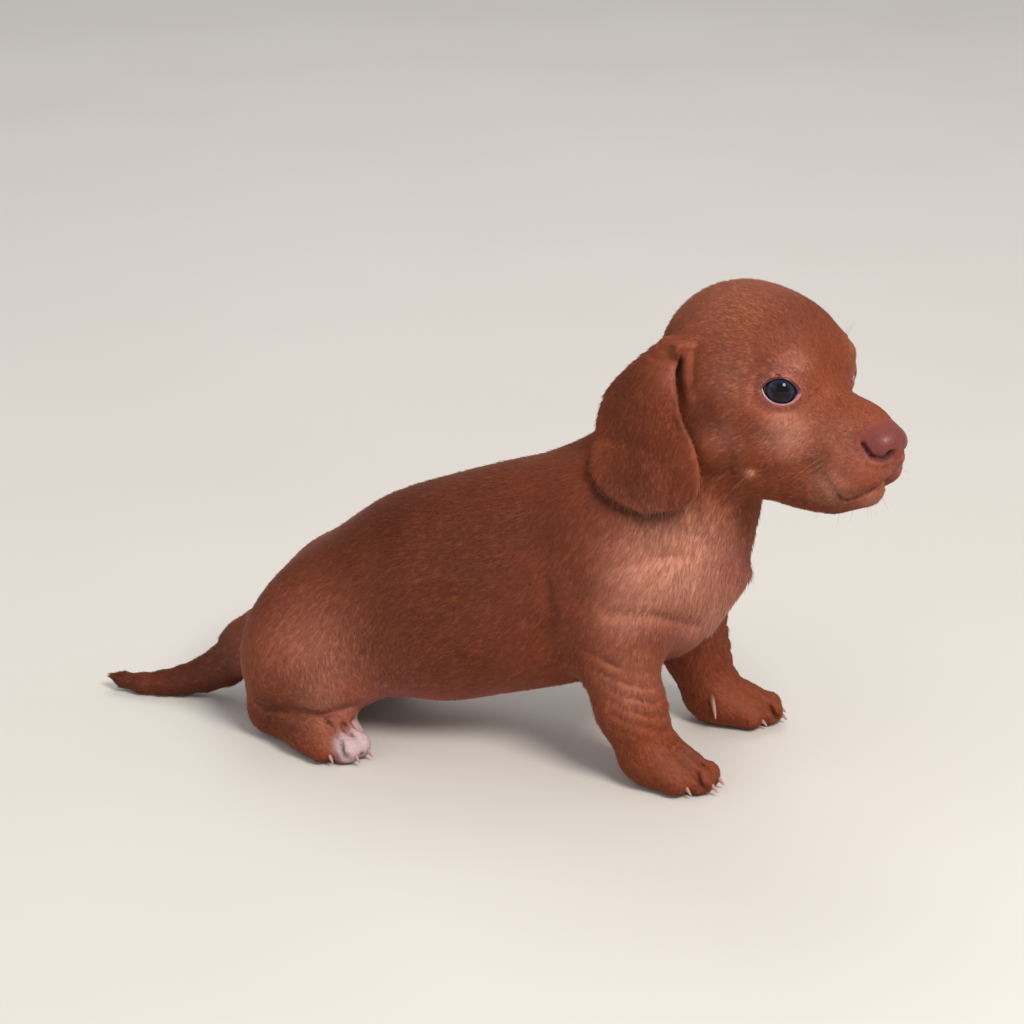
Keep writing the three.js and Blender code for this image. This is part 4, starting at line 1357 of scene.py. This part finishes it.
def build_eye(side, material):
    """A ball turned about its aim, with the bulge of the cornea in front."""
    sides, rings = 48, 40
    angle = np.linspace(0.0, np.pi, rings + 1)
    ahead, radius = CORNEA["ahead"], CORNEA["radius"]
    bulge = ahead * np.cos(angle) + np.sqrt(np.maximum(radius ** 2 - (ahead * np.sin(angle)) ** 2, 0))
    reach = np.maximum(EYE_RADIUS, bulge)
    out, wide = reach * np.cos(angle), reach * np.sin(angle)
    wide[[0, -1]] = 0.001
    turn = np.linspace(0, 2 * np.pi, sides, endpoint=False)
    y, z = np.outer(wide, np.cos(turn)), np.outer(wide, np.sin(turn))
    e = np.stack([np.repeat(out, sides), y.ravel(), z.ravel()], 1)
    outward = np.clip(np.repeat(wide, sides) / IRIS_RADIUS, 0, 1)
    outward[e[:, 0] < 0] = 1
    name = SIDE_NAMES[side]
    mesh = mesh_from(f"eyeball_{name}", to_model(from_eye(e, side)), ring_faces(rings + 1, sides))
    set_values(mesh, {"outward": outward})
    add_piece(mesh, material, [f"eye_{name}"])


def build_lid_rim(side, material):
    """The bare edge of the lids: a soft round edge along the opening, thicker at the tear corner."""
    steps, sides = 96, 12
    turn = np.linspace(0, 2 * np.pi, steps, endpoint=False)
    y = OPENING["width"] / 2 * np.cos(turn)
    off = LENS_RADIUS - OPENING["height"] / 2
    z = np.sign(np.sin(turn)) * (np.sqrt(np.maximum(LENS_RADIUS ** 2 - y ** 2, 0)) - off) - tear_drop(y)
    y = side * y
    seat = EYE_RADIUS + 0.75
    x = np.sqrt(np.maximum(seat ** 2 - y ** 2 - z ** 2, 0.1))
    course = np.stack([x, y, z], 1)
    for _ in range(2):
        course = (np.roll(course, 1, 0) + 2 * course + np.roll(course, -1, 0)) / 4
    along = unit(np.roll(course, -1, 0) - np.roll(course, 1, 0))
    out = unit(course)
    tear = np.exp(-((course[:, 1] * side + OPENING["width"] / 2) / 1.6) ** 2)
    e = tube(course, out[:, None], np.cross(along, out)[:, None], 0.42 + 0.4 * tear, sides)
    faces = ring_faces(steps, sides, closed=True)
    if side == RIGHT:
        faces = faces[:, ::-1]
    name = SIDE_NAMES[side]
    mesh = mesh_from(f"lid_rim_{name}", to_model(from_eye(e, side)), faces)
    set_values(mesh, {"upper": np.repeat(np.clip(course[:, 2] / 2 + 0.5, 0, 1), sides)})
    add_piece(mesh, material, [f"eyelids_{name}"])


HORN_RINGS = HORN_SIDES = 14


def horn(base, heading, droop, reach):
    """A claw: a round horn that bends down to a blunt point, with its points and the share along it."""
    heading = unit(np.array(heading, float))
    across = unit(np.array((-heading[1], heading[0], 0.0)))
    t = np.linspace(0, 1, HORN_RINGS)
    middle = np.array(base) + heading * (reach * t)[:, None]
    middle -= np.array((0, 0, 1)) * (droop * t * t)[:, None]
    radius = reach * 0.22 * np.sqrt(np.clip(1 - t ** 1.3, 0.0004, 1))
    points = tube(middle, across * 0.72, np.cross(heading, across), radius, HORN_SIDES)
    return points, np.repeat(t, HORN_SIDES)


def claws_of(side):
    """Base, heading, droop and length of each claw of one side, the dewclaw last."""
    claws = []
    for leg in (FORE_LEGS[side], HIND_LEGS[side]):
        for across, ahead, size in TOES:
            splay = np.radians(leg["turn"] + across * 1.5)
            base = foot_point(leg, ahead + size - 2.4, across, TOE_RISE + 0.9)
            claws.append((base, (np.cos(splay), np.sin(splay), -0.3), 2.6, CLAW_LENGTH + 2.2))
    x, y, _ = FORE_LEGS[side]["wrist"]
    base = (x + DEWCLAW["ahead"], y - side * DEWCLAW["inward"], DEWCLAW["up"])
    lean, inward, drop = DEWCLAW["heading"]
    return claws + [(base, (lean, -side * inward, drop), 4, CLAW_LENGTH + 2.6)]


def build_claws(material):
    points, along, faces = [], [], []
    for claw in claws_of(RIGHT) + claws_of(LEFT):
        spots, share = horn(*claw)
        faces.append(ring_faces(HORN_RINGS, HORN_SIDES)[:, ::-1] + len(spots) * len(points))
        points.append(spots)
        along.append(share)
    mesh = mesh_from("claws", to_model(np.vstack(points)), np.vstack(faces))
    set_values(mesh, {"along": np.concatenate(along)})
    add_piece(mesh, material, [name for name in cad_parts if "claw" in name])


# Whiskers: (place, direction, length), in the head's frame, on both sides

WHISKERS = [
    *[((52 - 3 * i, 11.5 + 0.4 * i, -19 - 2.2 * j), (0.35 - 0.25 * i, 1, -0.3 - 0.2 * j), 7 + 1.2 * i + j)
      for i in range(5) for j in range(3)],
    *[((55 - 5 * i, 4.5, -34), (0.5 - 0.3 * i, 0.4, -1), 6 + i) for i in range(4)],
    *[((24 + 2 * i, 20 - i, 15), (0.3, 0.6, 1), 7) for i in range(3)],
    *[((17, 21.5, -31), (-0.2 + 0.3 * i, 1, -0.4), 12) for i in range(3)],
]


def build_whiskers(material, rng):
    points, faces = [], []
    rings, sides = 6, 4
    t = np.linspace(0, 1, rings)
    for side in (RIGHT, LEFT):
        for place, direction, reach in WHISKERS:
            start = out_of_head(np.array(place) * (1, side, 1))
            root = settled(skin_field, start[None], 3, rounds=4)[0]
            heading = unit(np.array(direction) * (1, side, 1) + rng.normal(0, 0.1, 3)) @ HEAD_AXES.T
            sag = np.array((0.3, 0, 1)) * (0.12 * reach * t * t)[:, None]
            middle = root + heading * (reach * t)[:, None] - sag
            across = unit(np.cross(heading, (0, 0, 1.0)))
            faces.append(ring_faces(rings, sides) + rings * sides * len(points))
            points.append(tube(middle, across, np.cross(across, heading), 0.055 * (1 - 0.85 * t), sides))
    mesh = mesh_from("whiskers", to_model(np.vstack(points)), np.vstack(faces))
    add_piece(mesh, material)


# Studio, in metres: the camera stands at the angle of the photograph and keeps its framing

CAMERA = {"turn": 15.5, "rise": 20, "away": 1.1, "target": (0.0065, 0, 0.0865)}
SENSOR = 36
PICTURE_WIDTH = 1024
PIXELS_PER_MM = 2.75
BODY_MIDDLE = (0.02, 0, 0.09)
FLOOR_REACH = 6.0


def aim(thing, place, target):
    thing.location = place
    thing.rotation_euler = (Vector(target) - Vector(place)).to_track_quat("-Z", "Y").to_euler()


def build_camera():
    turn, rise = np.radians(CAMERA["turn"]), np.radians(CAMERA["rise"])
    target = Vector(CAMERA["target"])
    back = Vector((np.sin(turn) * np.cos(rise), -np.cos(turn) * np.cos(rise), np.sin(rise)))
    camera = bpy.data.objects.new("camera", bpy.data.cameras.new("camera"))
    camera.data.sensor_width = SENSOR
    camera.data.lens = SENSOR * PIXELS_PER_MM * CAMERA["away"] / MM / PICTURE_WIDTH
    bpy.context.scene.collection.objects.link(camera)
    aim(camera, target + back * CAMERA["away"], target)
    bpy.context.scene.camera = camera


def softbox(name, place, size, power, tint=(1, 1, 1)):
    light = bpy.data.lights.new(name, "AREA")
    light.shape = "DISK"
    light.size = size
    light.energy = power
    light.color = tint
    thing = bpy.data.objects.new(name, light)
    bpy.context.scene.collection.objects.link(thing)
    aim(thing, place, BODY_MIDDLE)


def build_lights():
    softbox("key", (0.85, -0.8, 1.2), 0.6, 21, (1, 0.97, 0.94))
    softbox("fill", (-0.9, -1.2, 0.6), 1.2, 2.5)
    softbox("back", (-0.2, 1.0, 1.3), 0.9, 4)
    world = bpy.data.worlds.new("studio")
    world.use_nodes = True
    sky = world.node_tree.nodes["Background"]
    sky.inputs["Color"].default_value = (0.95, 0.96, 1, 1)
    sky.inputs["Strength"].default_value = 0.55
    bpy.context.scene.world = world
    bpy.context.scene.view_settings.view_transform = "Standard"


def build_floor():
    corners = FLOOR_REACH * np.array([(-1, -1, 0), (1, -1, 0), (1, 1, 0), (-1, 1, 0)])
    mesh = mesh_from("floor", corners, np.array([(0, 1, 2, 3)]))
    floor = bpy.data.objects.new("floor", mesh)
    bpy.context.scene.collection.objects.link(floor)
    material, tree, shader, place = new_material("floor_paint")
    ground = mix_colour(tree, noise(tree, place, 6, 2), colour(216, 210, 200), colour(222, 217, 208))
    set_finish(tree, shader, ground, {"Roughness": 0.8})
    mesh.materials.append(material)


build_camera()
build_lights()
build_floor()
skin, skin_points, skin_normals = build_skin()
build_coat(skin, skin_points, skin_normals)
build_nose()
eye_finish, lid_finish = eye_material(), lid_material()
for side in (RIGHT, LEFT):
    build_eye(side, eye_finish)
    build_lid_rim(side, lid_finish)
build_claws(claw_material())
build_whiskers(whisker_material(), np.random.default_rng(SEED + 1))
